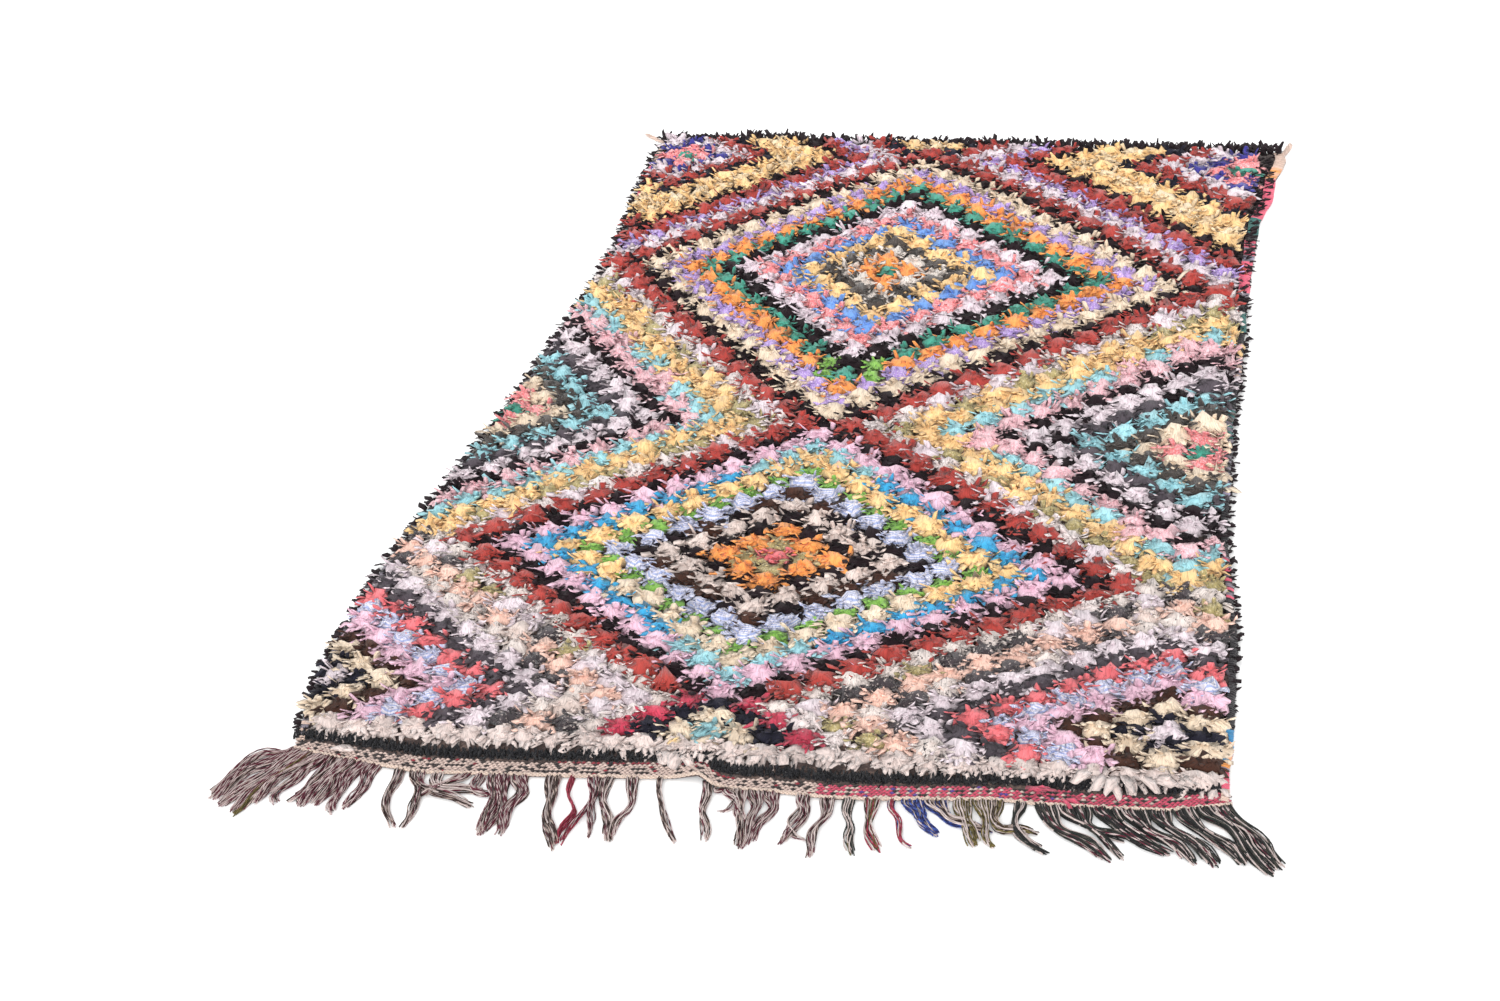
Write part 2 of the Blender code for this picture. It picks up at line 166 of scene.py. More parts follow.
@dataclass(frozen=True)
class TextileFinish:
    """A cloth or yarn: its dyes, how they lie on it, and how its surface takes the light."""

    name: str
    colour: str
    second: str = ""
    dye: Dye = Dye.PLAIN
    slot: str = "rag_pile"
    share: float = 0.5
    fleck_mm: float = 2.6
    crumple_mm: float = 7.0
    crumple: float = 0.7
    shadow: float = 0.34
    folds: float = 13.0
    thread_mm: float = 2.2
    thread: float = 0.25
    tone: float = 0.16
    sheen: float = 0.25
    roughness: float = 0.88
    lay_mm: float = 13.0

    def material(self) -> bpy.types.Material:
        """Makes the material.

        Returns:
            A Blender material.
        """
        mat = bpy.data.materials.new(self.name)
        mat.use_nodes = True
        tree = mat.node_tree
        tree.nodes.clear()
        place = add_node(tree, "ShaderNodeTexCoord").outputs["Object"]
        crease = self._creases(tree)
        colour = self._toned(tree, self._dyed(tree, place), crease)
        # Cotton and wool are dull, and their loose fibre ends catch light at the rim as sheen
        shader = add_node(
            tree,
            "ShaderNodeBsdfPrincipled",
            {
                "Roughness": self.roughness,
                "IOR": 1.5,
                "Specular IOR Level": 0.25,
                "Sheen Weight": self.sheen,
                "Sheen Roughness": 0.5,
            },
            {"Base Color": colour, "Normal": self._bump(tree, place, crease)},
        )
        add_node(tree, "ShaderNodeOutputMaterial", None, {"Surface": shader.outputs["BSDF"]})
        return mat

    def _dyed(self, tree: bpy.types.NodeTree, place: bpy.types.NodeSocket) -> bpy.types.NodeSocket:
        """Lays the dyes on the cloth.

        Args:
            tree: The node tree.
            place: The socket of the place on the rug.

        Returns:
            The socket of the cloth's colour.
        """
        if self.dye is Dye.PLAIN:
            # Piece-dyed rag has faded and worn unevenly, over a few centimetres
            wear = add_node(tree, "ShaderNodeTexNoise", {"Scale": 28.0, "Detail": 3.0}, {"Vector": place})
            pick = wear.outputs["Fac"]
            ends = (linear(self.colour, 0.86), linear(self.colour, 1.12))
        else:
            pick = self._pick(tree, place)
            ends = (linear(self.colour), linear(self.second))
        mix = add_node(tree, "ShaderNodeMix", {"data_type": "RGBA"})
        tree.links.new(pick, mix.inputs["Factor"])
        mix.inputs[6].default_value, mix.inputs[7].default_value = ends
        return mix.outputs[2]

    def _pick(self, tree: bpy.types.NodeTree, place: bpy.types.NodeSocket) -> bpy.types.NodeSocket:
        """Chooses between the two dyes from place to place.

        Args:
            tree: The node tree.
            place: The socket of the place on the rug.

        Returns:
            A socket that is 0 for the first dye and 1 for the second.
        """
        if self.dye in (Dye.STRIPE, Dye.MARL):
            # Thread map: u once round the yarn or across the rag, v in metres along it
            along = add_node(tree, "ShaderNodeUVMap", {"uv_map": THREAD}).outputs["UV"]
            parts = add_node(tree, "ShaderNodeSeparateXYZ", None, {0: along})
            turns = add_node(
                tree,
                "ShaderNodeMath",
                {"operation": "MULTIPLY_ADD", 1: 1.0 / (self.lay_mm * MM)},
                {0: parts.outputs["Y"]},
            )
            if self.dye is Dye.MARL:
                tree.links.new(parts.outputs["X"], turns.inputs[2])
            whole = add_node(tree, "ShaderNodeMath", {"operation": "FRACT"}, {0: turns.outputs[0]})
            value = whole.outputs[0]
        else:
            value = add_node(
                tree,
                "ShaderNodeTexNoise",
                {"Scale": 1.0 / (self.fleck_mm * MM), "Detail": 2.0, "Roughness": 0.6},
                {"Vector": place},
            ).outputs["Fac"]
        edge = 0.03 if self.dye is Dye.PRINT else 0.08
        step = add_node(
            tree,
            "ShaderNodeMapRange",
            {"From Min": 1.0 - self.share - edge, "From Max": 1.0 - self.share + edge},
            {"Value": value},
        )
        return step.outputs["Result"]

    def _toned(
        self, tree: bpy.types.NodeTree, colour: bpy.types.NodeSocket, crease: bpy.types.NodeSocket
    ) -> bpy.types.NodeSocket:
        """Makes each rag lighter or darker than its neighbours, and darker in its folds.

        Args:
            tree: The node tree.
            colour: The socket of the cloth's colour.
            crease: The socket of the height of its creases.

        Returns:
            The socket of the toned colour.
        """
        tone = add_node(tree, "ShaderNodeAttribute", {"attribute_name": "tone"})
        value = add_node(
            tree,
            "ShaderNodeMapRange",
            {"To Min": 1.0 - self.tone, "To Max": 1.0 + self.tone},
            {"Value": tone.outputs["Fac"]},
        )
        # Light is lost between folds that are finer than the mesh
        depth = add_node(
            tree,
            "ShaderNodeMapRange",
            {"From Min": 0.34, "From Max": 0.52, "To Min": 1.0 - self.shadow, "To Max": 1.0},
            {"Value": crease},
        )
        both = add_node(
            tree,
            "ShaderNodeMath",
            {"operation": "MULTIPLY"},
            {0: value.outputs["Result"], 1: depth.outputs["Result"]},
        )
        shade = add_node(
            tree,
            "ShaderNodeHueSaturation",
            {"Hue": 0.5},
            {"Value": both.outputs[0], "Color": colour},
        )
        return shade.outputs["Color"]

    def _creases(self, tree: bpy.types.NodeTree) -> bpy.types.NodeSocket:
        """Draws creases that run along the rag from root to tip.

        Args:
            tree: The node tree.

        Returns:
            The socket of their height.
        """
        thread = add_node(tree, "ShaderNodeUVMap", {"uv_map": THREAD}).outputs["UV"]
        tone = add_node(tree, "ShaderNodeAttribute", {"attribute_name": "tone"}).outputs["Fac"]
        parts = add_node(tree, "ShaderNodeSeparateXYZ", None, {0: thread})
        across = add_node(
            tree,
            "ShaderNodeMath",
            {"operation": "MULTIPLY", 1: self.folds},
            {0: parts.outputs["X"]},
        )
        along = add_node(
            tree,
            "ShaderNodeMath",
            {"operation": "MULTIPLY", 1: 0.5 / (self.crumple_mm * MM)},
            {0: parts.outputs["Y"]},
        )
        apart = add_node(tree, "ShaderNodeMath", {"operation": "MULTIPLY", 1: 90.0}, {0: tone})
        stretched = add_node(
            tree,
            "ShaderNodeCombineXYZ",
            None,
            {0: across.outputs[0], 1: along.outputs[0], 2: apart.outputs[0]},
        )
        return add_node(
            tree,
            "ShaderNodeTexNoise",
            {"Scale": 1.0, "Detail": 2.0, "Distortion": 0.4},
            {"Vector": stretched.outputs[0]},
        ).outputs["Fac"]

    def _bump(
        self, tree: bpy.types.NodeTree, place: bpy.types.NodeSocket, crease: bpy.types.NodeSocket
    ) -> bpy.types.NodeSocket:
        """Gives the cloth its creases and its threads.

        Args:
            tree: The node tree.
            place: The socket of the place on the rug.
            crease: The socket of the height of its creases.

        Returns:
            The socket of the bent normal.
        """
        folds = add_node(
            tree,
            "ShaderNodeBump",
            {"Strength": self.crumple, "Distance": 0.004},
            {"Height": crease},
        )
        # Real threads are 0.6 mm apart, too fine for the picture, and are drawn about four times as coarse
        weave = add_node(
            tree,
            "ShaderNodeTexNoise",
            {"Scale": 1.0 / (self.thread_mm * MM), "Detail": 1.0},
            {"Vector": place},
        )
        threads = add_node(
            tree,
            "ShaderNodeBump",
            {"Strength": self.thread, "Distance": 0.0015},
            {"Height": weave.outputs["Fac"], "Normal": folds.outputs["Normal"]},
        )
        return threads.outputs["Normal"]


def cotton(name: str, colour: str, sheen: float = 0.22) -> TextileFinish:
    """Returns cotton jersey rag, piece-dyed: dull, soft and slightly faded."""
    return TextileFinish(f"cotton_jersey_{name}", colour, sheen=sheen)


def mixed(
    name: str, colour: str, second: str, dye: Dye, share: float = 0.5, fleck: float = 2.6
) -> TextileFinish:
    """Returns printed or mélange cotton rag: two dyes in flecks of that size, in millimetres."""
    return TextileFinish(f"cotton_{dye.value}_{name}", colour, second, dye, share=share, fleck_mm=fleck)


class Rag(Enum):
    """The cloths that the pile is knotted from."""

    BRICK = cotton("brick", "#AE413A")
    CREAM = cotton("cream", "#E6D2BA")
    LAVENDER = mixed("lavender", "#AA8CD0", "#DCD0E4", Dye.MELANGE, 0.42, 2.2)
    TEAL = cotton("teal", "#469E8A")
    ORANGE = cotton("orange", "#FAA056")
    PLUM = cotton("plum_black", "#1E0F16", 0.05)
    NAVY = cotton("navy", "#21202F", 0.05)
    YELLOW = cotton("yellow", "#F4CC92")
    BLUE = cotton("blue", "#6E9CE0")
    CORAL = mixed("coral", "#EE8488", "#F8C4C4", Dye.MELANGE, 0.45, 3.0)
    PINK_WHITE = cotton("pinkish_white", "#E3D3DB")
    DUSTY_PINK = mixed("dusty_pink", "#E4ACB6", "#EAC8CC", Dye.MELANGE, 0.5, 3.0)
    AQUA = cotton("aqua", "#9ED0D8")
    CYAN = cotton("cyan", "#3CA6D6")
    OLIVE = mixed("olive", "#AC9E6C", "#D4C69C", Dye.MELANGE, 0.42, 4.0)
    CHARCOAL = cotton("charcoal", "#50484F", 0.10)
    WHITE = cotton("white", "#DFD1D7")
    BROWN = cotton("brown", "#482C22", 0.08)
    GRASS = cotton("grass_green", "#88BC56")
    BLUE_STRIPE = TextileFinish(
        "cotton_stripe_light_blue", "#A0ACD4", "#E0DCE6", Dye.STRIPE, share=0.5, lay_mm=4.6
    )
    PALE_PINK = cotton("pale_pink", "#E6BED0")
    PEACH = cotton("peach", "#EEC6B6")
    BEIGE = cotton("beige_white", "#DBC9C1")
    CORAL_RED = cotton("coral_red", "#E6747A")
    INDIGO = cotton("indigo", "#3E3A94")
    RASPBERRY = cotton("raspberry", "#C23E56")
    GREY_FLECK = mixed("light_grey", "#E0D6CE", "#5E5650", Dye.PRINT, 0.36, 3.2)
    DARK_FLECK = mixed("dark_grey", "#463E3A", "#A0968C", Dye.MELANGE, 0.30, 2.6)
    WHITE_FLECK = mixed("white_grey", "#E2D6D4", "#6A6462", Dye.PRINT, 0.36, 4.2)
    YELLOW_FLECK = mixed("yellow_white", "#EED8B4", "#8A84A0", Dye.PRINT, 0.30, 4.6)
    BLACK_PRINT = mixed("black_white", "#DCD0CA", "#2A272C", Dye.PRINT, 0.36, 6.0)
    BLACK_FLECK = mixed("charcoal", "#443C40", "#CABCB6", Dye.PRINT, 0.36, 5.0)
    RAGGED_CREAM = TextileFinish("cotton_wadding_cream", "#D8C6C0", crumple=0.7, crumple_mm=5.0, sheen=0.5)


# The chart: rings of knots, counted in steps from the middle of each lozenge

R = Rag
UPPER_RINGS = (
    R.TEAL, R.ORANGE, R.GREY_FLECK, R.DARK_FLECK, R.YELLOW, R.BLUE, R.CORAL, R.PINK_WHITE,
    R.PLUM, R.TEAL, R.ORANGE, R.LAVENDER, R.CREAM, R.PLUM, R.BRICK,
)
LOWER_RINGS = (
    R.CORAL_RED, R.OLIVE, R.ORANGE, R.PLUM, R.BEIGE, R.BROWN, R.BLUE_STRIPE, R.GRASS,
    R.YELLOW, R.CYAN, R.PALE_PINK, R.PLUM, R.BRICK,
)
SIDE_RINGS = (
    R.TEAL, R.CORAL, R.CREAM, R.DARK_FLECK, R.AQUA, R.CHARCOAL, R.WHITE, R.PLUM,
    R.DUSTY_PINK, R.AQUA, R.YELLOW, R.OLIVE, R.WHITE_FLECK, R.BRICK,
)
BACK_BANDS = (
    R.YELLOW_FLECK, R.YELLOW, R.NAVY, R.BRICK, R.WHITE, R.LAVENDER, R.BRICK, R.PLUM, R.YELLOW,
    R.YELLOW_FLECK, R.YELLOW, R.NAVY, R.BRICK, R.WHITE, R.INDIGO, R.CORAL, R.TEAL,
)
BACK_BANDS_START = 11
FRONT_BANDS = (
    R.BLACK_PRINT, R.OLIVE, R.PEACH, R.BLACK_FLECK, R.WHITE, R.CHARCOAL, R.CORAL_RED,
    R.BLUE_STRIPE, R.PALE_PINK, R.BROWN, R.CREAM, R.NAVY, R.WHITE,
)
FRONT_BANDS_START = 13
FRONT_CENTRE = (R.RAGGED_CREAM, R.AQUA, R.CREAM, R.NAVY, R.RASPBERRY)


@dataclass
class LozengeChart:
    """The order of the cloths: two stacked lozenges, half lozenges at the sides, and bands between."""

    lower_row: int = 24
    side_column: int = 14
    side_row: int = 13
    back_row: int = -13
    turn_row: int = 35
    last_row: int = 38

    def rag(self, column: int, row: int, rng: np.random.Generator) -> Rag:
        """Gives the cloth of one knot.

        Args:
            column: Knots to the right of the middle line.
            row: Knots in front of the middle of the back lozenge.
            rng: Where the odd knots of another cloth come from.

        Returns:
            The cloth.
        """
        out = abs(column)
        upper = out + abs(row)
        lower = out + abs(row - self.lower_row)
        if row == self.last_row:
            return Rag.RAGGED_CREAM
        if row >= self.turn_row and out + self.last_row - row <= 4:
            return FRONT_CENTRE[out + self.last_row - row]
        if row <= self.side_row and upper < len(UPPER_RINGS):
            return self._odd_upper(column, row, upper)
        if lower < len(LOWER_RINGS):
            return self._odd_lower(column, row, lower, rng)
        if row <= 0:
            ring = 27 - abs(self.side_column - out) - abs(row - self.back_row)
            return BACK_BANDS[ring - BACK_BANDS_START]
        if row < self.lower_row:
            return self._odd_side(abs(self.side_column - out) + abs(row - self.side_row), rng)
        return self._odd_front(25 - abs(self.side_column - out) - abs(row - self.turn_row), rng)

    @staticmethod
    def _odd_upper(column: int, row: int, ring: int) -> Rag:
        """Returns the upper lozenge's cloth, with the green knots near its front point."""
        if abs(column) == 1 and row in (8, 9):
            return Rag.GRASS
        return UPPER_RINGS[ring]

    @staticmethod
    def _odd_lower(column: int, row: int, ring: int, rng: np.random.Generator) -> Rag:
        """Returns the lower lozenge's cloth: its outer rings change cloth from back to front."""
        if ring == 8 and row > 26:
            return Rag.CREAM
        if ring == 9 and abs(column) < 3:
            return Rag.AQUA
        if ring == 5 and rng.random() < 0.3:
            return Rag.PLUM
        return LOWER_RINGS[ring]

    @staticmethod
    def _odd_front(ring: int, rng: np.random.Generator) -> Rag:
        """Returns the front bands' cloth: their inner rings mix worn prints and whites."""
        chance = rng.random()
        if ring <= 13:
            return Rag.WHITE_FLECK if chance < 0.4 else Rag.BLACK_PRINT
        if ring == 14:
            return Rag.WHITE if chance < 0.42 else Rag.OLIVE if chance < 0.64 else Rag.BLACK_FLECK
        if ring == 15 and chance < 0.2:
            return Rag.BEIGE
        if ring == 16 and chance < 0.5:
            return Rag.BLACK_PRINT
        return FRONT_BANDS[ring - FRONT_BANDS_START]

    @staticmethod
    def _odd_side(ring: int, rng: np.random.Generator) -> Rag:
        """Returns the half lozenges' cloth, where two worn cloths run into their neighbours."""
        chance = rng.random()
        if ring == 9 and chance < 0.22:
            return Rag.DUSTY_PINK
        if ring == 11 and chance < 0.25:
            return Rag.YELLOW
        if ring == 12 and chance < 0.35:
            return Rag.WHITE
        if ring == 5 and chance < 0.15:
            return Rag.PLUM
        return SIDE_RINGS[min(ring, len(SIDE_RINGS) - 1)]


# Meshes made from many strips


@dataclass
class Strips:
    """Closed strips swept along paths, all with as many stations and corners.

    Args:
        points: Corner places, of shape (strips, stations, corners, 3).
        metres: Length along each strip, of shape (strips, stations).
        tone: Lightness from 0 to 1 for each strip.
        rounds: How many rags lie side by side round each strip.
    """

    points: np.ndarray
    metres: np.ndarray
    tone: np.ndarray
    rounds: float = 1.0

    def faces(self, offset: int) -> tuple[np.ndarray, np.ndarray]:
        """Lists the strips' faces.

        Args:
            offset: The number of the first corner.

        Returns:
            The corner numbers of all faces one after another, and how many corners each face has.
        """
        count, stations, corners = self.points.shape[:3]
        size = stations * corners
        strip = np.arange(count)[:, None, None] * size
        along = np.arange(stations - 1)[None, :, None] * corners
        here = np.arange(corners)[None, None, :]
        after = (here + 1) % corners
        near, far = strip + along, strip + along + corners
        sides = np.stack([near + here, near + after, far + after, far + here], axis=-1).reshape(-1, 4)
        ends = np.arange(count)[:, None] * size
        first = ends + np.arange(corners)[::-1][None, :]
        last = ends + size - corners + np.arange(corners)[None, :]
        loops = np.concatenate([sides.ravel(), first.ravel(), last.ravel()]) + offset
        return loops, np.concatenate([np.full(len(sides), 4), np.full(2 * count, corners)])

    def maps(self, cell: int, cells: int) -> tuple[np.ndarray, np.ndarray]:
        """Lays out the strips' two maps.

        Args:
            cell: The atlas cell of the first strip.
            cells: How many cells the atlas has along each side.

        Returns:
            The atlas map, one cell for each strip, and the thread map, at every face corner.
        """
        count, stations, corners = self.points.shape[:3]
        across = np.arange(corners) / corners
        u = np.broadcast_to(
            np.stack([across, across + 1 / corners, across + 1 / corners, across], -1)[None, None],
            (count, stations - 1, corners, 4),
        )
        near, far = self.metres[:, :-1], self.metres[:, 1:]
        v = np.broadcast_to(np.stack([near, near, far, far], -1)[:, :, None, :], u.shape)
        steps = np.arange(stations - 1) / (stations - 1)
        up = 1 / (stations - 1)
        share = np.broadcast_to(
            np.stack([steps, steps, steps + up, steps + up], -1)[None, :, None, :], u.shape
        )
        number = (cell + np.arange(count))[:, None, None, None]
        cell_x, cell_y = number % cells, number // cells
        atlas = np.stack(
            [(cell_x + 0.06 + 0.88 * u) / cells, (cell_y + 0.06 + 0.8 * share) / cells], -1
        ).reshape(-1, 2)
        turn = np.linspace(0, 2 * np.pi, corners, endpoint=False)
        round_ = np.stack([np.cos(turn), np.sin(turn)], -1) * 0.02
        caps = []
        for offset in (0.30, 0.70):
            middle = np.stack([(cell_x + offset) / cells, (cell_y + 0.93) / cells], -1).reshape(-1, 1, 2)
            caps.append((middle + round_ / cells).reshape(-1, 2))
        thread = [np.stack([u * self.rounds, v], -1).reshape(-1, 2)]
        for station, order in ((0, -1), (-1, 1)):
            ring = self.points[:, station, ::order, :2]
            thread.append(((ring - ring.mean(1, keepdims=True)) * (1 / CAP_FOLDS, 1.0)).reshape(-1, 2))
        return np.concatenate([atlas, *caps]), np.concatenate(thread)


def make_piece(
    name: str, finish: TextileFinish, sets: list[Strips], smooth: bool = True
) -> bpy.types.Object:
    """Joins sets of strips to one mesh and dresses it.

    Args:
        name: The piece's name.
        finish: What it is made of.
        sets: The strips.
        smooth: Whether neighbouring faces are shaded as one surface.

    Returns:
        The object, riding on the rug's body.
    """
    cells = math.ceil(math.sqrt(sum(len(part.points) for part in sets)))
    places, tones, loops, totals, atlas, thread = [], [], [], [], [], []
    offset = cell = 0
    for part in sets:
        size = part.points.shape[1] * part.points.shape[2]
        places.append(part.points.reshape(-1, 3))
        tones.append(np.repeat(part.tone, size))
        for found, into in zip(part.faces(offset) + part.maps(cell, cells), (loops, totals, atlas, thread)):
            into.append(found)
        offset += len(part.points) * size
        cell += len(part.points)
    corner, total = np.concatenate(loops), np.concatenate(totals)
    mesh = bpy.data.meshes.new(name)
    mesh.vertices.add(offset)
    mesh.vertices.foreach_set("co", np.concatenate(places).astype(np.float32).ravel())
    mesh.loops.add(len(corner))
    mesh.loops.foreach_set("vertex_index", corner.astype(np.int32))
    mesh.polygons.add(len(total))
    mesh.polygons.foreach_set("loop_start", np.concatenate([[0], np.cumsum(total)[:-1]]).astype(np.int32))
    mesh.update(calc_edges=True)
    for title, values in ((ATLAS, atlas), (THREAD, thread)):
        layer = mesh.uv_layers.new(name=title)
        layer.uv.foreach_set("vector", np.concatenate(values).astype(np.float32).ravel())
    tone = mesh.attributes.new("tone", "FLOAT", "POINT")
    tone.data.foreach_set("value", np.concatenate(tones).astype(np.float32))
    mesh.polygons.foreach_set("use_smooth", np.full(len(mesh.polygons), smooth))
    mesh.update()
    thing = bpy.data.objects.new(name, mesh)
    bpy.context.scene.collection.objects.link(thing)
    mesh.materials.append(finish.material())
    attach(thing, "root")
    return thing


def frames(path: np.ndarray, up: np.ndarray | None = None) -> tuple[np.ndarray, np.ndarray]:
    """Finds the sideways and upward directions along paths.

    Args:
        path: Points of shape (strips, stations, 3).
        up: A rough upward direction, or None for +Z.

    Returns:
        The sideways and the upward unit vectors, both of the path's shape.
    """
    forward = np.gradient(path, axis=1)
    forward /= np.linalg.norm(forward, axis=-1, keepdims=True) + 1e-12
    high = np.zeros_like(path) + (np.array([0.0, 0.0, 1.0]) if up is None else up)
    side = np.cross(forward, high)
    side /= np.linalg.norm(side, axis=-1, keepdims=True) + 1e-12
    return side, np.cross(side, forward)


def lengths(path: np.ndarray) -> np.ndarray:
    """Returns the length from each path's start to each of its points."""
    steps = np.linalg.norm(np.diff(path, axis=1), axis=-1)
    return np.concatenate([np.zeros((len(path), 1)), np.cumsum(steps, axis=1)], axis=1)


def tubes(
    path: np.ndarray, radius: float | np.ndarray, tone: np.ndarray, corners: int = 5, flat: float = 1.0
) -> Strips:
    """Sweeps round yarns along paths.

    Args:
        path: Points of shape (yarns, stations, 3).
        radius: Radii, a number or an array of shape (yarns, stations).
        tone: Lightness from 0 to 1 for each yarn.
        corners: Corners round each yarn.
        flat: The yarn's height as a share of its width.

    Returns:
        The strips.
    """
    side, up = frames(path)
    turn = -np.linspace(0, 2 * np.pi, corners, endpoint=False)
    size = np.broadcast_to(np.asarray(radius, float), path.shape[:2])[..., None, None]
    ring = np.cos(turn)[:, None] * side[:, :, None, :] + flat * np.sin(turn)[:, None] * up[:, :, None, :]
    return Strips(path[:, :, None, :] + size * ring, lengths(path), tone)


@dataclass
class Tufts:
    """Many knots of the same cloth, each a thick pleated middle with free rag ends round it.

    Args:
        x: Where each knot is tied, across the rug.
        y: Where each knot is tied, along the rug.
        pitch: How much width each knot has.
        gap: How much depth each knot has.
    """

    x: np.ndarray
    y: np.ndarray
    pitch: np.ndarray
    gap: np.ndarray
    ends: int = 18
    middle: bool = True
    length: tuple[float, float] = (0.029, 0.037)
    half_width: tuple[float, float] = (0.0034, 0.0062)
    around: float = 80.0
    rise: tuple[float, float] = (60.0, 84.0)
    droop: tuple[float, float] = (-2.0, 40.0)
    lean: float = 24.0
    heading: float = 0.0
    bulk: float = 1.0
    base: float = 0.003
    ceiling: float = 0.037

    def strips(self, rng: np.random.Generator) -> list[Strips]:
        """Shapes the tufts.

        Args:
            rng: The piece's own random numbers.

        Returns:
            The free ends, and the middles where the tufts have them.
        """
        tone = rng.normal(0.5, 0.16, (len(self.x), 1))
        parts = [self._ends(tone, rng)]
        if self.middle:
            parts.append(self._middles(tone, rng))
        return parts

    def _middles(self, knot_tone: np.ndarray, rng: np.random.Generator) -> Strips:
        """Shapes the pleated middles, from the ground up to a jagged crown.

        Args:
            knot_tone: Lightness of each knot.
            rng: The piece's own random numbers.

        Returns:
            The middles, with three stations of ten corners each.
        """
        knots, corners = len(self.x), 10
        turn = np.arange(corners) / corners * 2 * np.pi + rng.uniform(0, 0.6, (knots, 1))
        wide = np.array([1.0, 0.96, 0.52])
        tall = np.array([0.0, 0.62, 1.0])
        pleat = rng.normal(0, 0.18, (knots, corners))
        size = wide[None, :, None] * (1 + pleat[:, None, :]) + rng.normal(0, 0.07, (knots, 3, corners))
        bulk = 0.35 + 0.65 * self.bulk
        room = (self.gap[:, None, None] / 0.040) ** 0.5
        top = 0.0152 * rng.uniform(0.84, 1.10, (knots, 1, 1)) * room * bulk
        jag = 1 + rng.normal(0, 0.24, (knots, 3, corners)) * tall[None, :, None]
        x = self.x[:, None, None] + 0.56 * self.pitch[:, None, None] * bulk * size * np.cos(turn)[:, None, :]
        y = self.y[:, None, None] + 0.53 * self.gap[:, None, None] * bulk * size * np.sin(turn)[:, None, :]
        z = self.base + tall[None, :, None] * top * jag
        points = np.stack([x, y, np.minimum(z, self.ceiling)], -1)
        # Painted shade: each middle is made a little darker than its knot's ends, as the inside of the tuft
        # lies in shadow
        tone = np.clip(knot_tone[:, 0] - 0.10, 0, 1)
        return Strips(points, np.broadcast_to(0.02 * tall, (knots, 3)), tone, rounds=5.0)

    def _ends(self, knot_tone: np.ndarray, rng: np.random.Generator) -> Strips:
        """Shapes the free ends: they leave the middle at its sides and bend over.

        Args:
            knot_tone: Lightness of each knot.
            rng: The piece's own random numbers.

        Returns:
            The strips, with three stations of four corners each.
        """
        shape, stations = (len(self.x), self.ends), 3
        order = rng.permuted(np.tile(np.linspace(-1, 1, self.ends), (shape[0], 1)), axis=1)
        bulk = 0.35 + 0.65 * self.bulk
        azimuth = np.radians(self.heading + order * self.around + rng.normal(0, 10, shape))
        if self.middle:
            azimuth *= 0.36
        back = rng.uniform(-1, 1, shape)
        root = np.stack(
            [
                self.x[:, None] + 0.46 * self.pitch[:, None] * bulk * (order + rng.normal(0, 0.12, shape)),
                self.y[:, None] + 0.45 * self.gap[:, None] * bulk * back,
                np.full(shape, self.base),
            ],
            -1,
        )
        first, last = rng.uniform(*self.rise, shape), rng.uniform(*self.droop, shape) + self.lean * back
        long = rng.uniform(*self.length, shape) * bulk * (self.gap[:, None] / 0.040) ** 0.5
        t = np.linspace(0, 1, stations)
        rise = np.radians(first[..., None] + (last - first)[..., None] * t**0.9)
        turn = azimuth[..., None] + np.radians(rng.normal(0, 9, shape))[..., None] * t
        flat = np.stack([np.sin(turn), -np.cos(turn)], -1)
        forward = np.concatenate([np.cos(rise)[..., None] * flat, np.sin(rise)[..., None]], -1)
        step = long[..., None, None] / (stations - 1)
        path = np.cumsum(np.concatenate([np.zeros_like(forward[:, :, :1]), forward[:, :, 1:] * step], 2), 2)
        path += rng.normal(0, 0.0007, path.shape) + root[:, :, None, :]
        path[..., 2] = np.clip(path[..., 2], 0.004, self.ceiling)
        return self._wrap(path, forward, flat, long, knot_tone, rng)

    def _wrap(
        self, path: np.ndarray, forward: np.ndarray, flat: np.ndarray, long: np.ndarray, knot_tone: np.ndarray,
        rng: np.random.Generator,
    ) -> Strips:
        """Gives each path the creased cross-section of a torn rag.

        Args:
            path: Middle lines, of shape (knots, ends, stations, 3).
            forward: Directions along them.
            flat: Their level directions.
            long: Lengths.
            knot_tone: Lightness of each knot.
            rng: The piece's own random numbers.

        Returns:
            The strips.
        """
        stations = path.shape[2]
        count = path.shape[0] * path.shape[1]
        t = np.linspace(0, 1, stations)
        level = np.stack([-flat[..., 1], flat[..., 0], np.zeros(flat.shape[:-1])], -1)
        over = np.cross(level, forward)
        over /= np.linalg.norm(over, axis=-1, keepdims=True) + 1e-12
        shape = path.shape[:2]
        facing, winding = rng.normal(0, 9, shape), rng.normal(0, 14, shape)
        twist = np.radians(facing[..., None] + winding[..., None] * t)[..., None]
        side = np.cos(twist) * level + np.sin(twist) * over
        high = np.cos(twist) * over - np.sin(twist) * level
        swell = np.array([0.80, 1.14, 0.80])
        half = rng.uniform(*self.half_width, shape)[..., None] * swell
        half = half * rng.uniform(0.85, 1.15, (*shape, stations))
        half[..., -1] *= rng.uniform(0.6, 1.25, shape)
        half = half * (0.5 + 0.5 * self.bulk)
        curl = rng.normal(-0.10, 0.22, (*shape, 2))
        thick = 0.0008
        crease = rng.uniform(-0.35, 0.35, shape)[..., None, None]
        width, rim = half[..., None], curl[..., None, :] * half[..., None]
        corner = np.stack(
            [
                path - width * side + rim[..., 0:1] * high,
                path + crease * width * side + thick * high,
                path + width * side + rim[..., 1:2] * high,
                path + crease * width * side - thick * high,
            ],
            axis=3,
        )
        corner += rng.normal(0, 0.0005, corner.shape)
        slant = rng.normal(0, 0.0022, shape)[..., None]
        corner[:, :, -1, 0] += slant * forward[:, :, -1]
        corner[:, :, -1, 2] -= slant * forward[:, :, -1]
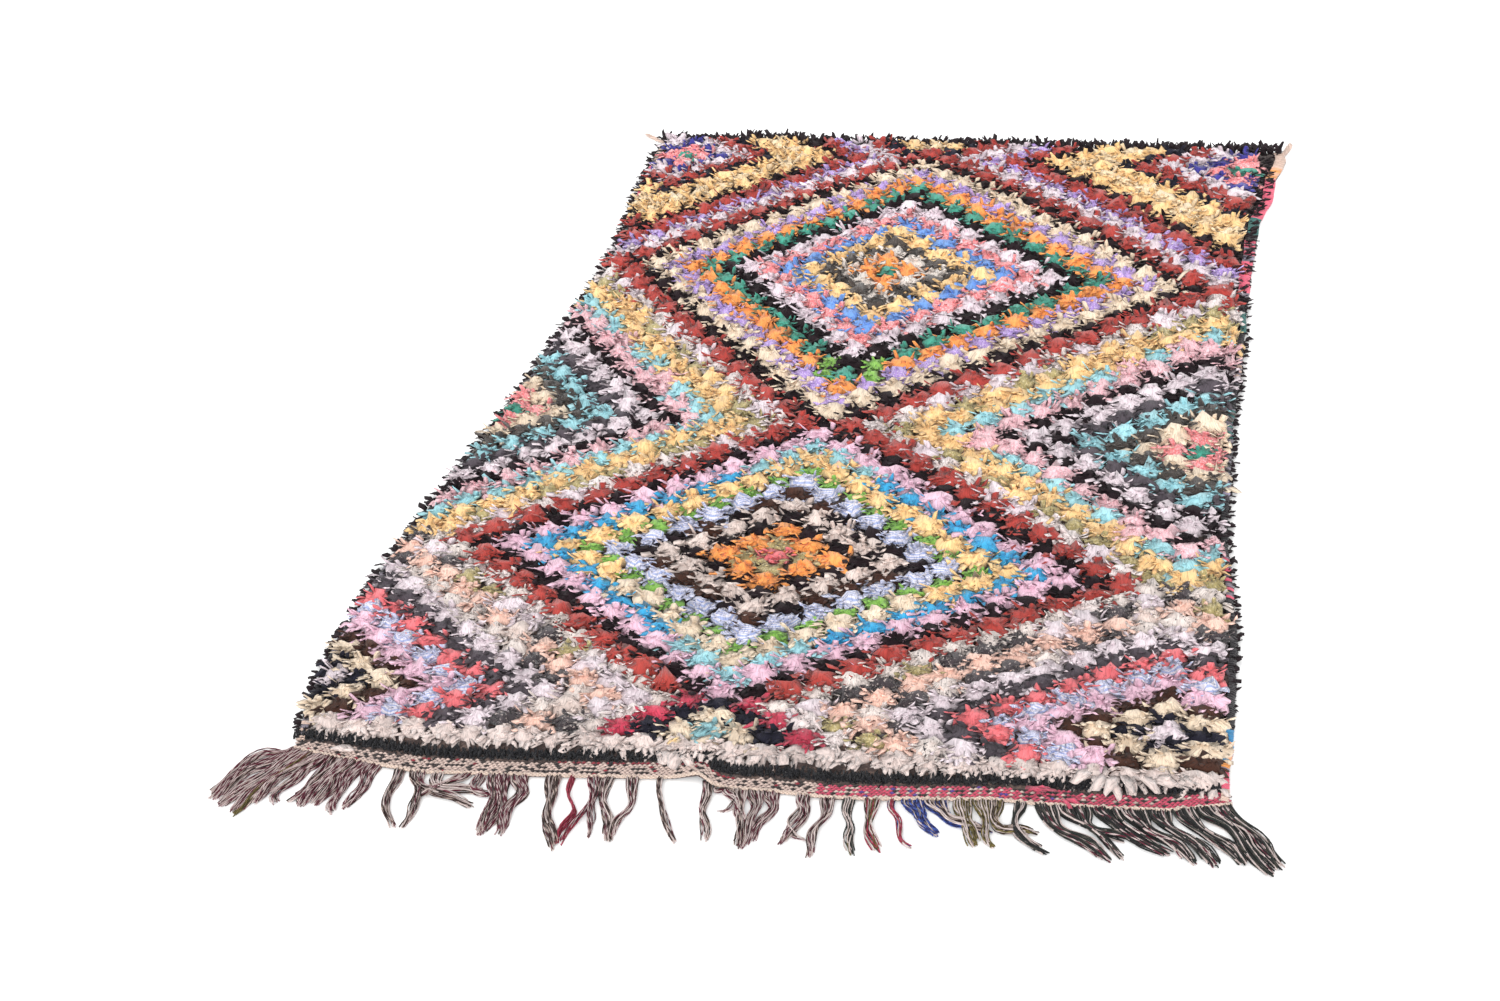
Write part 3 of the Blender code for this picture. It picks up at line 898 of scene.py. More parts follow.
        corner[..., 2] = np.clip(corner[..., 2], 0.0035, self.ceiling + 0.003)
        tone = np.clip(knot_tone + rng.normal(0, 0.15, shape), 0, 1)
        metres = np.broadcast_to(long[..., None] * t, (*shape, stations)).reshape(count, stations)
        return Strips(corner.reshape(count, stations, 4, 3), metres, tone.reshape(count))


# Sub-assemblies


# Thin cloths make small tufts that their neighbours half cover, and thick ones full tufts
BULK = {
    Rag.GRASS: 0.54, Rag.PLUM: 0.88, Rag.BROWN: 0.84, Rag.TEAL: 0.84, Rag.NAVY: 0.90, Rag.CHARCOAL: 0.98,
    Rag.OLIVE: 0.84, Rag.BLACK_FLECK: 0.92, Rag.CYAN: 0.92, Rag.LAVENDER: 0.94, Rag.BRICK: 1.16,
    Rag.YELLOW: 1.14, Rag.CREAM: 1.12, Rag.PALE_PINK: 1.14, Rag.WHITE: 1.12, Rag.PINK_WHITE: 1.08,
    Rag.BEIGE: 1.12, Rag.ORANGE: 1.08, Rag.INDIGO: 0.80, Rag.RAGGED_CREAM: 0.86,
    Rag.PEACH: 1.08, Rag.DUSTY_PINK: 1.06, Rag.AQUA: 1.02,
}


@dataclass
class RagPile:
    """The knotted pile: rows of rag knots in the chart's cloths, inside a narrow black border."""

    middle: float = -0.058
    half_columns: int = 15
    first_row: int = -15
    knot_back: float = 0.011
    border_left: float = 0.014
    border_right: float = 0.018

    def row_line(self, row: float) -> float:
        """Returns the y of a row's tufts on the middle line."""
        rows = (-15, -9, 0, 13, 24, 38)
        places = (1.060, 0.839, 0.452, -0.152, -0.583, -1.090)
        return float(np.interp(row, rows, places))

    def knot(self, column: int, row: int) -> tuple[float, float, float, float] | None:
        """Places one knot of the chart.

        Args:
            column: Knots to the right of the middle line.
            row: Knots in front of the middle of the back lozenge.

        Returns:
            The place of its tuft and the width and depth that it has, or None beyond the border.
        """
        y = self.row_line(row)
        share = column / 14
        hang = np.interp(y, (-1.09, -0.70, 0.70, 1.06), (0.0, 1.0, 1.0, 0.3))
        y += hang * (-0.045 * share**2 if column > 0 else 0.010 * share**2)
        y = min(max(y, -1.094), 1.066)
        marks = (-1.05, -0.58, -0.15, 0.45, 1.06)
        middle = np.interp(y, marks, (-0.066, -0.063, -0.060, -0.050, -0.054))
        if column < 0:
            pitch = np.interp(y, marks, (0.0415, 0.0412, 0.0388, 0.0366, 0.0355))
        else:
            pitch = np.interp(y, marks, (0.0442, 0.0442, 0.0442, 0.0430, 0.0450))
        x = middle + column * pitch
        low = left_edge(y) + self.border_left
        high = min(right_edge(y), 0.640) - self.border_right - np.interp(y, (0.30, 0.42), (0.0, 0.018))
        if y < -0.95:
            high = right_edge(y) - 0.010
        left, right = max(x - pitch / 2, low), min(x + pitch / 2, high)
        if column > 0 and high - right < (0.030 if column == self.half_columns else 0.016):
            right = max(right, high)
        if right - left < 0.010:
            return None
        inner = min(max(row, self.first_row + 1), 37)
        gap = self.row_line(inner - 0.5) - self.row_line(inner + 0.5)
        return (left + right) / 2, y, right - left, gap

    def build(self) -> list:
        """Knots the pile.

        Returns:
            The pieces, one for each cloth and one for the black border.
        """
        chart = LozengeChart()
        rng = np.random.default_rng(11)
        knots: dict[Rag, list] = {}
        for row in range(self.first_row, chart.last_row + 1):
            for column in range(-self.half_columns, self.half_columns + 1):
                rag = chart.rag(column, row, rng)
                place = self.knot(column, row)
                if place is not None:
                    knots.setdefault(rag, []).append(place)
        pieces = []
        for number, (rag, places) in enumerate(knots.items()):
            pieces.append(self._cloth(rag, np.array(places), 100 + number))
        pieces.append(self._border())
        LOG.info("rag pile: %d knots in %d cloths", sum(len(k) for k in knots.values()), len(knots))
        return pieces

    def _cloth(self, rag: Rag, places: np.ndarray, seed: int) -> bpy.types.Object:
        """Ties every knot of one cloth.

        Args:
            rag: The cloth.
            places: Tuft places, widths and depths.
            seed: The seed of this cloth's random numbers.

        Returns:
            The piece.
        """
        rng = np.random.default_rng(seed)
        x, y, pitch, gap = places.T
        jitter = rng.normal(0, 0.0022, (2, len(x)))
        tufts = Tufts(x + jitter[0], y + self.knot_back + jitter[1], pitch, gap, bulk=BULK.get(rag, 1.0))
        if rag is Rag.BLACK_PRINT:
            # Worn to strings
            tufts.ends, tufts.half_width, tufts.around = 24, (0.0018, 0.0036), 100.0
        if rag is Rag.RAGGED_CREAM:
            tufts.length = (0.026, 0.038)
            tufts.droop = (-16.0, 36.0)
            tufts.half_width = (0.0036, 0.0066)
            tufts.ends = 18
        return make_piece(f"pile_{rag.name.lower()}", rag.value, tufts.strips(rng))

    def _border(self) -> bpy.types.Object:
        """Ties the black knots that close the pile at both sides and at the back.

        Returns:
            The piece.
        """
        rng = np.random.default_rng(12)
        y = np.arange(-1.085, 1.075, 0.021)
        left = np.stack([left_edge(y) + 0.009, y, np.full(len(y), 0.014)])
        inset = np.interp(y, (0.30, 0.42), (0.010, 0.028))
        right = np.stack([np.minimum(right_edge(y), 0.640) - inset, y, np.full(len(y), 0.018)])[:, y > -0.95]
        x = np.arange(left_edge(BACK_EDGE) + 0.008, right_edge(BACK_EDGE) - 0.012, 0.015)
        back = np.stack([x, np.full(len(x), BACK_EDGE - 0.006), np.full(len(x), 0.016)])
        tall = back[:, (x > -0.44) & (x < -0.33)]
        sets = []
        # Each run of knots with its heading in degrees, its rag ends, their length and their droop
        for run, heading, ends, length, droop in (
            (left, -40.0, 6, (0.014, 0.022), (-30.0, 30.0)),
            (right[:, right[1] <= 0.36], 30.0, 7, (0.009, 0.015), (-30.0, 20.0)),
            (right[:, right[1] > 0.36], 44.0, 8, (0.020, 0.030), (-30.0, 30.0)),
            (back, 180.0, 8, (0.027, 0.038), (10.0, 56.0)),
            (tall, 170.0, 8, (0.034, 0.046), (10.0, 60.0)),
        ):
            px, py, pitch = run
            tufts = Tufts(px, py, pitch, np.full(len(px), 0.024), ends=ends, middle=False, heading=heading)
            tufts.around = 100.0 if heading > 90.0 else 60.0
            tufts.length, tufts.droop, tufts.lean = length, droop, 0.0
            tufts.half_width = (0.0032, 0.0050)
            sets.extend(tufts.strips(rng))
        return make_piece("pile_border_black", Rag.PLUM.value, sets)


@dataclass
class GroundCloth:
    """The flat-woven ground: wool weft beaten close over cotton warp, hidden under the pile."""

    columns: int = 40
    rows: int = 64
    turn: float = 0.0045

    def build(self) -> bpy.types.Object:
        """Weaves the ground as a closed sheet between the selvages.

        Returns:
            The piece.
        """
        u = np.linspace(0, 1, self.columns + 1)
        v = np.linspace(0, 1, self.rows + 1)
        rough_y = -1.15 + (BACK_EDGE + 1.15) * v
        left, right = left_edge(rough_y) + self.turn, right_edge(rough_y) - self.turn
        x = left[:, None] * (1 - u)[None, :] + right[:, None] * u[None, :]
        front = cord_line(x[0])
        y = front[None, :] + (BACK_EDGE - front)[None, :] * v[:, None]
        lift = pucker(x, y)
        top = np.stack([x, y, GROUND_THICK + lift], -1)
        low = np.stack([x, y, 0.0004 + lift * 0.9], -1)
        mesh = bpy.data.meshes.new("ground_cloth")
        mesh.from_pydata(*self._closed(top, low))
        mesh.update()
        thing = bpy.data.objects.new("ground_cloth", mesh)
        bpy.context.scene.collection.objects.link(thing)
        # Partly painted shade: the ground is coloured dark so that where it shows, in the gaps between tufts
        # and between weft floats, it reads as the shade there
        finish = TextileFinish(
            "wool_weft_plain_weave", "#4A3834", "#80685E", Dye.MELANGE, slot="ground_weft", share=0.4,
            fleck_mm=9.0, thread_mm=3.0, thread=0.8,
        )
        mesh.materials.append(finish.material())
        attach(thing, "root")
        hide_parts("ground_weave")
        return thing

    def _closed(self, top: np.ndarray, low: np.ndarray) -> tuple[list, list, list]:
        """Joins the two faces of the cloth round their rim.

        Args:
            top: Points of the upper face, by row and column.
            low: Points of the lower face.

        Returns:
            Vertices, no edges, and faces.
        """
        rows, columns = top.shape[:2]
        number = np.arange(rows * columns).reshape(rows, columns)
        a, b, c, d = number[:-1, :-1], number[:-1, 1:], number[1:, 1:], number[1:, :-1]
        upper = np.stack([a, b, c, d], -1).reshape(-1, 4)
        lower = (np.stack([d, c, b, a], -1) + rows * columns).reshape(-1, 4)
        rim = np.concatenate([number[0], number[1:, -1], number[-1, -2::-1], number[-2:0:-1, 0]])
        after = np.roll(rim, -1)
        offset = rows * columns
        wall = np.stack([rim, rim + offset, after + offset, after], -1)
        faces = np.concatenate([upper, lower, wall]).tolist()
        return np.concatenate([top.reshape(-1, 3), low.reshape(-1, 3)]).tolist(), [], faces


@dataclass
class WoolBand:
    """The low band of cut black wool that closes the pile at the front."""

    depth: float = 0.010
    tufts_per_metre: float = 360.0
    rows: int = 3
    ends: int = 3
    setback: float = 0.009
    pitch: float = 0.010
    gap: float = 0.006
    length: tuple[float, float] = (0.022, 0.032)
    half_width: tuple[float, float] = (0.0014, 0.0026)
    droop: tuple[float, float] = (0.0, 70.0)
    ceiling: float = 0.012

    def build(self) -> bpy.types.Object:
        """Ties the wool.

        Returns:
            The piece.
        """
        rng = np.random.default_rng(21)
        sets = []
        for row in range(self.rows):
            x = np.arange(-0.640, 0.632, self.rows / self.tufts_per_metre)
            x = x + rng.normal(0, 0.0015, len(x))
            y = cord_line(x) + strip_width(x) + self.setback + self.depth * row / (self.rows - 1)
            pitch, gap = np.full(len(x), self.pitch), np.full(len(x), self.gap)
            tufts = Tufts(x, y, pitch, gap, ends=self.ends, middle=False, around=170.0)
            tufts.length, tufts.half_width = self.length, self.half_width
            tufts.droop, tufts.lean, tufts.ceiling = self.droop, 0.0, self.ceiling
            for part in tufts.strips(rng):
                part.points[..., 2] += pucker(part.points[..., 0], part.points[..., 1])
                sets.append(part)
        finish = TextileFinish(
            "wool_yarn_blue_black", "#0C0B11", "#15151D", Dye.MELANGE, slot="wool_pile", fleck_mm=3.0,
            crumple_mm=3.0, crumple=0.8, sheen=0.12, roughness=0.95,
        )
        thing = make_piece("wool_band_tufts", finish, sets)
        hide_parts("wool_band")
        LOG.info("wool band: %d rows", self.rows)
        return thing


class Stitch(Enum):
    """Weft colours of the flat-woven end."""

    CREAM = TextileFinish("cotton_weft_cream", "#D0B8AE", slot="ground_weft", crumple_mm=4.0)
    CORAL = TextileFinish("cotton_weft_coral", "#C64A64", slot="ground_weft", crumple_mm=4.0)
    DARK = TextileFinish("cotton_weft_brown_black", "#2E2422", slot="ground_weft", crumple_mm=4.0)
    WINE = TextileFinish("cotton_weft_wine", "#8E2F3A", slot="ground_weft", crumple_mm=4.0)
    VIOLET = TextileFinish("cotton_weft_violet", "#5A3F8E", slot="ground_weft", crumple_mm=4.0)


@dataclass
class FlatWovenEnd:
    """The bare strip at the front: weft floats in beaded rows between the wool and the end cord."""

    pitch: float = 0.0068
    row_pitch: float = 0.0044

    def colour(self, x: float, row: int, chance: float) -> Stitch:
        """Chooses the weft of one float.

        Args:
            x: Its place across the rug.
            row: Its row, counted from the cord.
            chance: A random number from 0 to 1.

        Returns:
            The weft's colour.
        """
        if x > 0.10:
            if 0.16 < x < 0.45 and chance > 0.975:
                return Stitch.VIOLET
            dark = 0.26 if x > 0.40 else 0.13
            cream = 0.18 if x > 0.40 else 0.34
            if row % 2:
                return Stitch.DARK if chance < dark * 1.6 else Stitch.CORAL
            bead = round(x / self.pitch) % 2
            return Stitch.CREAM if chance < cream * (2.4 if bead else 0.3) else Stitch.CORAL
        last = int(strip_width(x) / self.row_pitch)
        if row == last and -0.26 < x < 0.0 and chance < 0.75:
            return Stitch.WINE
        if row % 2:
            return Stitch.DARK if chance < 0.42 else Stitch.CREAM
        if chance > 0.95:
            return Stitch.WINE
        return Stitch.DARK if chance < 0.08 else Stitch.CREAM

    def build(self) -> list:
        """Lays the floats.

        Returns:
            One piece for each weft colour.
        """
        rng = np.random.default_rng(31)
        places: dict[Stitch, list] = {s: [] for s in Stitch}
        for x in np.arange(-0.636, 0.644, self.pitch):
            rows = int((strip_width(x) + 0.004) / self.row_pitch)
            for row in range(rows):
                shift = self.pitch / 2 * (row % 2)
                places[self.colour(x, row, rng.random())].append((x + shift, row))
        pieces = []
        for stitch, spots in places.items():
            if spots:
                pieces.append(self._floats(stitch, np.array(spots), rng))
        LOG.info("flat-woven end: %d floats", sum(len(p) for p in places.values()))
        return pieces

    def _floats(self, stitch: Stitch, spots: np.ndarray, rng: np.random.Generator) -> bpy.types.Object:
        """Shapes the floats of one weft.

        Args:
            stitch: The weft.
            spots: Places across the rug and rows.
            rng: The piece's own random numbers.

        Returns:
            The piece.
        """
        x, row = spots.T
        t = np.linspace(-0.5, 0.5, 3)
        px = x[:, None] + t * self.pitch * 0.94 + rng.normal(0, 0.0003, (len(x), 1))
        py = cord_line(px) + 0.0032 + row[:, None] * self.row_pitch + rng.normal(0, 0.0003, (len(x), 1))
        py = py + t * 0.0012
        height = GROUND_THICK - 0.0004 + 0.0016 * np.cos(t * np.pi * 0.9) + pucker(px, py)
        path = np.stack([px, py, height], -1)
        radius = 0.00190 * np.array([0.60, 1.0, 0.60])
        strips = tubes(path, np.broadcast_to(radius, px.shape), np.clip(rng.normal(0.5, 0.25, len(x)), 0, 1))
        return make_piece(f"weft_floats_{stitch.name.lower()}", stitch.value, [strips])


@dataclass(frozen=True)
class LooseRag:
    """A few rag ends that lie over the wool band or the flat weave: their place, way and size."""

    x: float
    y: float
    width: float
    heading: float
    ends: int
    reach: float
    level: float = 0.010


@dataclass
class LooseRags:
    """The stray rags at the front, where a tuft or a weft end has worked loose."""

    cream: tuple[LooseRag, ...] = (
        LooseRag(-0.572, -1.134, 0.008, 70.0, 2, 0.022),
        LooseRag(-0.098, -1.098, 0.020, 8.0, 4, 0.036),
        LooseRag(0.468, -1.092, 0.012, -18.0, 2, 0.034, 0.015),
        LooseRag(0.496, -1.094, 0.024, 2.0, 4, 0.046, 0.015),
        LooseRag(0.524, -1.092, 0.012, 24.0, 2, 0.036, 0.015),
        LooseRag(0.556, -1.086, 0.030, 50.0, 3, 0.038, 0.013),
        LooseRag(0.030, -1.090, 0.034, 6.0, 3, 0.030),
    )
    pale: tuple[LooseRag, ...] = (
        LooseRag(0.501, 0.461, 0.001, 2.0, 1, 0.045, 0.034),
        LooseRag(0.451, 0.377, 0.001, -16.0, 1, 0.013, 0.034),
    )
    yellow: tuple[LooseRag, ...] = (LooseRag(-0.106, -1.100, 0.008, 150.0, 2, 0.018, 0.026),)
    coral: tuple[LooseRag, ...] = (
        LooseRag(0.388, -1.128, 0.014, 94.0, 6, 0.030, 0.013),
        LooseRag(0.434, -1.148, 0.006, 60.0, 3, 0.022, 0.009),
    )

    wide_rag: tuple[float, float] = (0.0070, 0.0110)
    thin_rag: tuple[float, float] = (0.0024, 0.0038)

    def build(self) -> list:
        """Lays the loose rags.

        Returns:
            One piece for each cloth.
        """
        rng = np.random.default_rng(71)
        pieces = []
        for name, rags, finish in (
            ("loose_rags_cream", self.cream, Rag.RAGGED_CREAM.value),
            ("loose_rag_yellow", self.yellow, Rag.YELLOW.value),
            ("loose_strip_pale", self.pale, Rag.CREAM.value),
            ("loose_weft_coral", self.coral, Stitch.CORAL.value),
        ):
            sets = []
            for rag in rags:
                spot = np.array([[rag.x], [rag.y], [rag.width], [0.010]])
                tufts = Tufts(*spot, ends=rag.ends, middle=False)
                tufts.base, tufts.heading, tufts.around = rag.level, rag.heading, 16.0
                tufts.length = (rag.reach * 1.6, rag.reach * 2.0)
                tufts.rise, tufts.droop, tufts.lean = (20.0, 50.0), (-30.0, -8.0), 0.0
                tufts.half_width = self.wide_rag if name == "loose_rags_cream" else self.thin_rag
                sets.extend(tufts.strips(rng))
            pieces.append(make_piece(name, finish, sets))
        LOG.info("loose rags: %d", len(self.cream + self.pale + self.yellow + self.coral))
        return pieces


@dataclass
class EndCord:
    """The two-ply cream cord twined along the front edge, over the roots of the fringe."""

    lay: float = 0.013
    stations: int = 620

    def build(self) -> bpy.types.Object:
        """Twines the cord.

        Returns:
            The piece.
        """
        x = np.linspace(-0.640, 0.650, self.stations)
        y = cord_line(x)
        z = 0.0040 + pucker(x, y) + 0.0006 * np.sin(x * 61)
        run = np.concatenate([[0], np.cumsum(np.hypot(np.diff(x), np.diff(y)))])
        plies = []
        for phase in (0.0, math.pi):
            angle = run / self.lay * 2 * math.pi + phase
            plies.append(np.stack([x, y + 0.0015 * np.cos(angle), z + 0.0013 * np.sin(angle)], -1))
        finish = TextileFinish(
            "cotton_twine_cream", "#CBB2A2", "#DCC8BA", Dye.MARL, slot="warp_yarn", lay_mm=3.0
        )
        strips = tubes(np.array(plies), 0.0017, np.array([0.45, 0.6]), corners=5)
        return make_piece("end_cord", finish, [strips])


def marl(name: str, colour: str, second: str, **settings: float) -> TextileFinish:
    """Returns wool yarn of two plies twisted together: dull, with the two dyes winding round it."""
    return TextileFinish(
        f"wool_marl_{name}", colour, second, Dye.MARL, sheen=0.06, slot="warp_yarn", **settings
    )


class Marl(Enum):
    """Yarns of the fringe: two-ply, each ply in its own colour."""

    BURGUNDY = marl("burgundy_cream", "#641E32", "#D4BEBC", share=0.40, lay_mm=24.0)
    BROWN = marl("brown_cream", "#341C16", "#C0AAA0", share=0.24, lay_mm=34.0)
    GREEN = marl("dark_green_cream", "#222A26", "#4A473F", share=0.30, lay_mm=30.0)
    DARK = marl("charcoal_green", "#101414", "#231F20", lay_mm=30.0)
    OLIVE = marl("olive_brown", "#554C22", "#7E6E3E")
    NAVY = marl("navy_blue", "#2A2C66", "#3D56A8")
    RED = marl("red", "#8E2033", "#B4405A")
    CREAM = TextileFinish("cotton_yarn_cream", "#DCCAC6", "#C6B2AC", Dye.MARL, slot="warp_yarn", lay_mm=20.0)


@dataclass(frozen=True)
class Hank:
    """Some warp ends of the fringe that hang together: their roots, their way and their yarns."""

    left: float
    right: float
    way: tuple[tuple[float, float], ...]
    yarns: int
    marls: tuple[Marl, ...]
    spread: float = 0.012


M = Marl
BURGUNDY_MIX = (M.BURGUNDY, M.CREAM, M.BURGUNDY, M.BROWN, M.CREAM, M.BURGUNDY, M.BURGUNDY)
BROWN_MIX = (M.BROWN, M.CREAM, M.BROWN, M.BURGUNDY, M.CREAM)
GREEN_MIX = (M.GREEN, M.DARK, M.CREAM, M.DARK, M.GREEN, M.BURGUNDY, M.DARK, M.CREAM, M.GREEN)
HANKS = (
    Hank(
        -0.640, -0.638, ((-0.670, -1.156), (-0.696, -1.206), (-0.714, -1.254)), 10,
        BURGUNDY_MIX, 0.014,
    ),
    Hank(-0.640, -0.626, ((-0.681, -1.196), (-0.714, -1.264)), 12, BURGUNDY_MIX, 0.016),
    Hank(-0.630, -0.612, ((-0.658, -1.217), (-0.695, -1.280)), 14, BURGUNDY_MIX, 0.016),
    Hank(-0.616, -0.602, ((-0.647, -1.220), (-0.672, -1.290)), 12, BURGUNDY_MIX, 0.014),
    Hank(-0.610, -0.606, ((-0.650, -1.228), (-0.670, -1.302)), 4, (M.OLIVE,), 0.006),
    Hank(-0.603, -0.586, ((-0.630, -1.214), (-0.652, -1.270)), 12, BURGUNDY_MIX, 0.014),
    Hank(-0.590, -0.580, ((-0.611, -1.208), (-0.634, -1.246)), 6, BURGUNDY_MIX, 0.008),
    Hank(-0.584, -0.578, ((-0.612, -1.222), (-0.622, -1.250), (-0.611, -1.270)), 3, BURGUNDY_MIX, 0.004),
    Hank(-0.576, -0.558, ((-0.583, -1.224), (-0.606, -1.256)), 10, BURGUNDY_MIX, 0.012),
    Hank(-0.562, -0.545, ((-0.567, -1.215), (-0.585, -1.266)), 13, BURGUNDY_MIX, 0.016),
    Hank(-0.545, -0.530, ((-0.551, -1.221), (-0.560, -1.266)), 10, BURGUNDY_MIX, 0.012),
    Hank(-0.534, -0.518, ((-0.537, -1.219), (-0.531, -1.280)), 11, BURGUNDY_MIX, 0.010),
    Hank(-0.516, -0.500, ((-0.516, -1.225), (-0.522, -1.266)), 10, BURGUNDY_MIX, 0.010),
    Hank(-0.480, -0.464, ((-0.467, -1.225), (-0.462, -1.266), (-0.436, -1.298)), 6, BROWN_MIX, 0.007),
    Hank(-0.456, -0.444, ((-0.438, -1.216), (-0.425, -1.258), (-0.436, -1.298)), 6, BROWN_MIX, 0.007),
    Hank(-0.390, -0.368, ((-0.396, -1.199), (-0.415, -1.215), (-0.434, -1.229)), 8, BROWN_MIX, 0.007),
    Hank(-0.425, -0.408, ((-0.404, -1.204), (-0.372, -1.208), (-0.337, -1.206)), 6, BROWN_MIX, 0.008),
    Hank(
        -0.446, -0.434, ((-0.432, -1.207), (-0.406, -1.224), (-0.378, -1.228), (-0.343, -1.243)), 6,
        BROWN_MIX, 0.010,
    ),
    Hank(-0.362, -0.350, ((-0.352, -1.205), (-0.330, -1.214)), 4, BURGUNDY_MIX, 0.010),
    Hank(-0.345, -0.330, ((-0.327, -1.226), (-0.322, -1.304)), 8, BURGUNDY_MIX, 0.009),
    Hank(-0.330, -0.314, ((-0.311, -1.232), (-0.314, -1.297)), 7, BURGUNDY_MIX, 0.012),
    Hank(
        -0.314, -0.290, ((-0.293, -1.214), (-0.300, -1.253), (-0.299, -1.298)), 10,
        BURGUNDY_MIX, 0.011,
    ),
    Hank(-0.266, -0.244, ((-0.248, -1.224), (-0.230, -1.282), (-0.216, -1.322)), 10, BROWN_MIX, 0.009),
    Hank(
        -0.231, -0.226, ((-0.226, -1.199), (-0.210, -1.243), (-0.216, -1.281), (-0.214, -1.312)), 3,
        (M.RED,), 0.003,
    ),
    Hank(
        -0.208, -0.200, ((-0.194, -1.203), (-0.201, -1.260), (-0.209, -1.308)), 4,
        (M.RED, M.BURGUNDY), 0.004,
    ),
    Hank(-0.197, -0.192, ((-0.181, -1.209), (-0.179, -1.261), (-0.173, -1.294)), 3, BURGUNDY_MIX, 0.004),
    Hank(-0.190, -0.172, ((-0.179, -1.209), (-0.157, -1.259), (-0.146, -1.296)), 9, BROWN_MIX, 0.008),
    Hank(-0.156, -0.138, ((-0.132, -1.211), (-0.144, -1.257), (-0.142, -1.290)), 7, BURGUNDY_MIX, 0.006),
    Hank(-0.113, -0.106, ((-0.098, -1.199), (-0.078, -1.250), (-0.055, -1.286)), 4, BROWN_MIX, 0.004),
    Hank(-0.050, -0.036, ((-0.034, -1.200), (-0.027, -1.244), (-0.018, -1.278)), 7, BROWN_MIX, 0.007),
    Hank(
        -0.034, -0.030, ((-0.013, -1.174), (0.001, -1.196), (-0.003, -1.211), (-0.020, -1.214)), 2,
        BURGUNDY_MIX, 0.002,
    ),
    Hank(-0.022, -0.014, ((0.000, -1.195), (0.010, -1.222), (0.030, -1.240)), 3, BURGUNDY_MIX, 0.003),
    Hank(-0.006, 0.014, ((0.012, -1.200), (0.024, -1.240), (0.024, -1.286)), 8, BROWN_MIX, 0.009),
    Hank(0.012, 0.036, ((0.036, -1.205), (0.034, -1.246), (0.029, -1.290)), 9, BURGUNDY_MIX, 0.010),
    Hank(0.034, 0.058, ((0.052, -1.200), (0.042, -1.238), (0.034, -1.278)), 9, BURGUNDY_MIX, 0.010),
    Hank(0.082, 0.100, ((0.095, -1.207), (0.087, -1.245), (0.079, -1.274)), 8, BURGUNDY_MIX, 0.010),
    Hank(0.090, 0.095, ((0.088, -1.248), (0.096, -1.258), (0.110, -1.263)), 2, BURGUNDY_MIX, 0.002),
    Hank(0.114, 0.134, ((0.126, -1.218), (0.118, -1.256), (0.118, -1.297)), 8, BURGUNDY_MIX, 0.008),
    Hank(
        0.145, 0.160, ((0.161, -1.214), (0.169, -1.250), (0.179, -1.286)), 7,
        (M.GREEN, M.GREEN, M.OLIVE, M.CREAM), 0.007,
    ),
    Hank(
        0.174, 0.194, ((0.189, -1.211), (0.195, -1.247), (0.208, -1.276)), 8,
        (M.BROWN, M.OLIVE, M.RED, M.CREAM), 0.007,
    ),
    Hank(
        0.204, 0.213, ((0.216, -1.200), (0.227, -1.228), (0.240, -1.256), (0.250, -1.266)), 4,
        (M.RED, M.NAVY, M.CREAM, M.RED), 0.004,
    ),
    Hank(
        0.222, 0.250, ((0.247, -1.197), (0.261, -1.217), (0.273, -1.237)), 9,
        (M.NAVY, M.NAVY, M.CREAM, M.NAVY), 0.012,
    ),
    Hank(
        0.250, 0.282, ((0.277, -1.193), (0.314, -1.210), (0.341, -1.226)), 9,
        (M.NAVY, M.CREAM, M.NAVY, M.BROWN), 0.010,
    ),
    Hank(
        0.290, 0.314, ((0.304, -1.197), (0.321, -1.225), (0.330, -1.252)), 9,
        (M.OLIVE, M.CREAM, M.OLIVE), 0.014,
    ),
    Hank(
        0.314, 0.332, ((0.331, -1.202), (0.344, -1.236), (0.353, -1.252)), 7,
        (M.OLIVE, M.OLIVE, M.CREAM), 0.006,
    ),
    Hank(
        0.334, 0.356, ((0.349, -1.192), (0.360, -1.209), (0.388, -1.207), (0.406, -1.216)), 9,
        (M.OLIVE, M.BROWN, M.CREAM), 0.008,
    ),
    Hank(
        0.370, 0.386, ((0.378, -1.181), (0.390, -1.222), (0.407, -1.243), (0.422, -1.254)), 9,
        (M.DARK, M.GREEN, M.CREAM, M.DARK), 0.008,
    ),
    Hank(0.396, 0.424, ((0.434, -1.197), (0.471, -1.228), (0.506, -1.258)), 14, GREEN_MIX, 0.012),
    Hank(0.424, 0.446, ((0.455, -1.187), (0.496, -1.222), (0.519, -1.257)), 8, GREEN_MIX, 0.005),
    Hank(0.446, 0.470, ((0.472, -1.185), (0.499, -1.207), (0.533, -1.208)), 8, GREEN_MIX, 0.010),
    Hank(0.470, 0.504, ((0.506, -1.188), (0.538, -1.213), (0.574, -1.242)), 15, GREEN_MIX, 0.014),
    Hank(0.506, 0.544, ((0.545, -1.184), (0.581, -1.216), (0.612, -1.254)), 16, GREEN_MIX, 0.013),
    Hank(0.544, 0.574, ((0.574, -1.180), (0.610, -1.219), (0.638, -1.256)), 15, GREEN_MIX, 0.013),
    Hank(0.574, 0.604, ((0.612, -1.176), (0.645, -1.210), (0.672, -1.246)), 14, GREEN_MIX, 0.014),
    Hank(0.602, 0.630, ((0.642, -1.173), (0.677, -1.225), (0.706, -1.265)), 15, GREEN_MIX, 0.014),
    Hank(0.626, 0.648, ((0.667, -1.170), (0.698, -1.216), (0.719, -1.249)), 13, GREEN_MIX, 0.014),
)


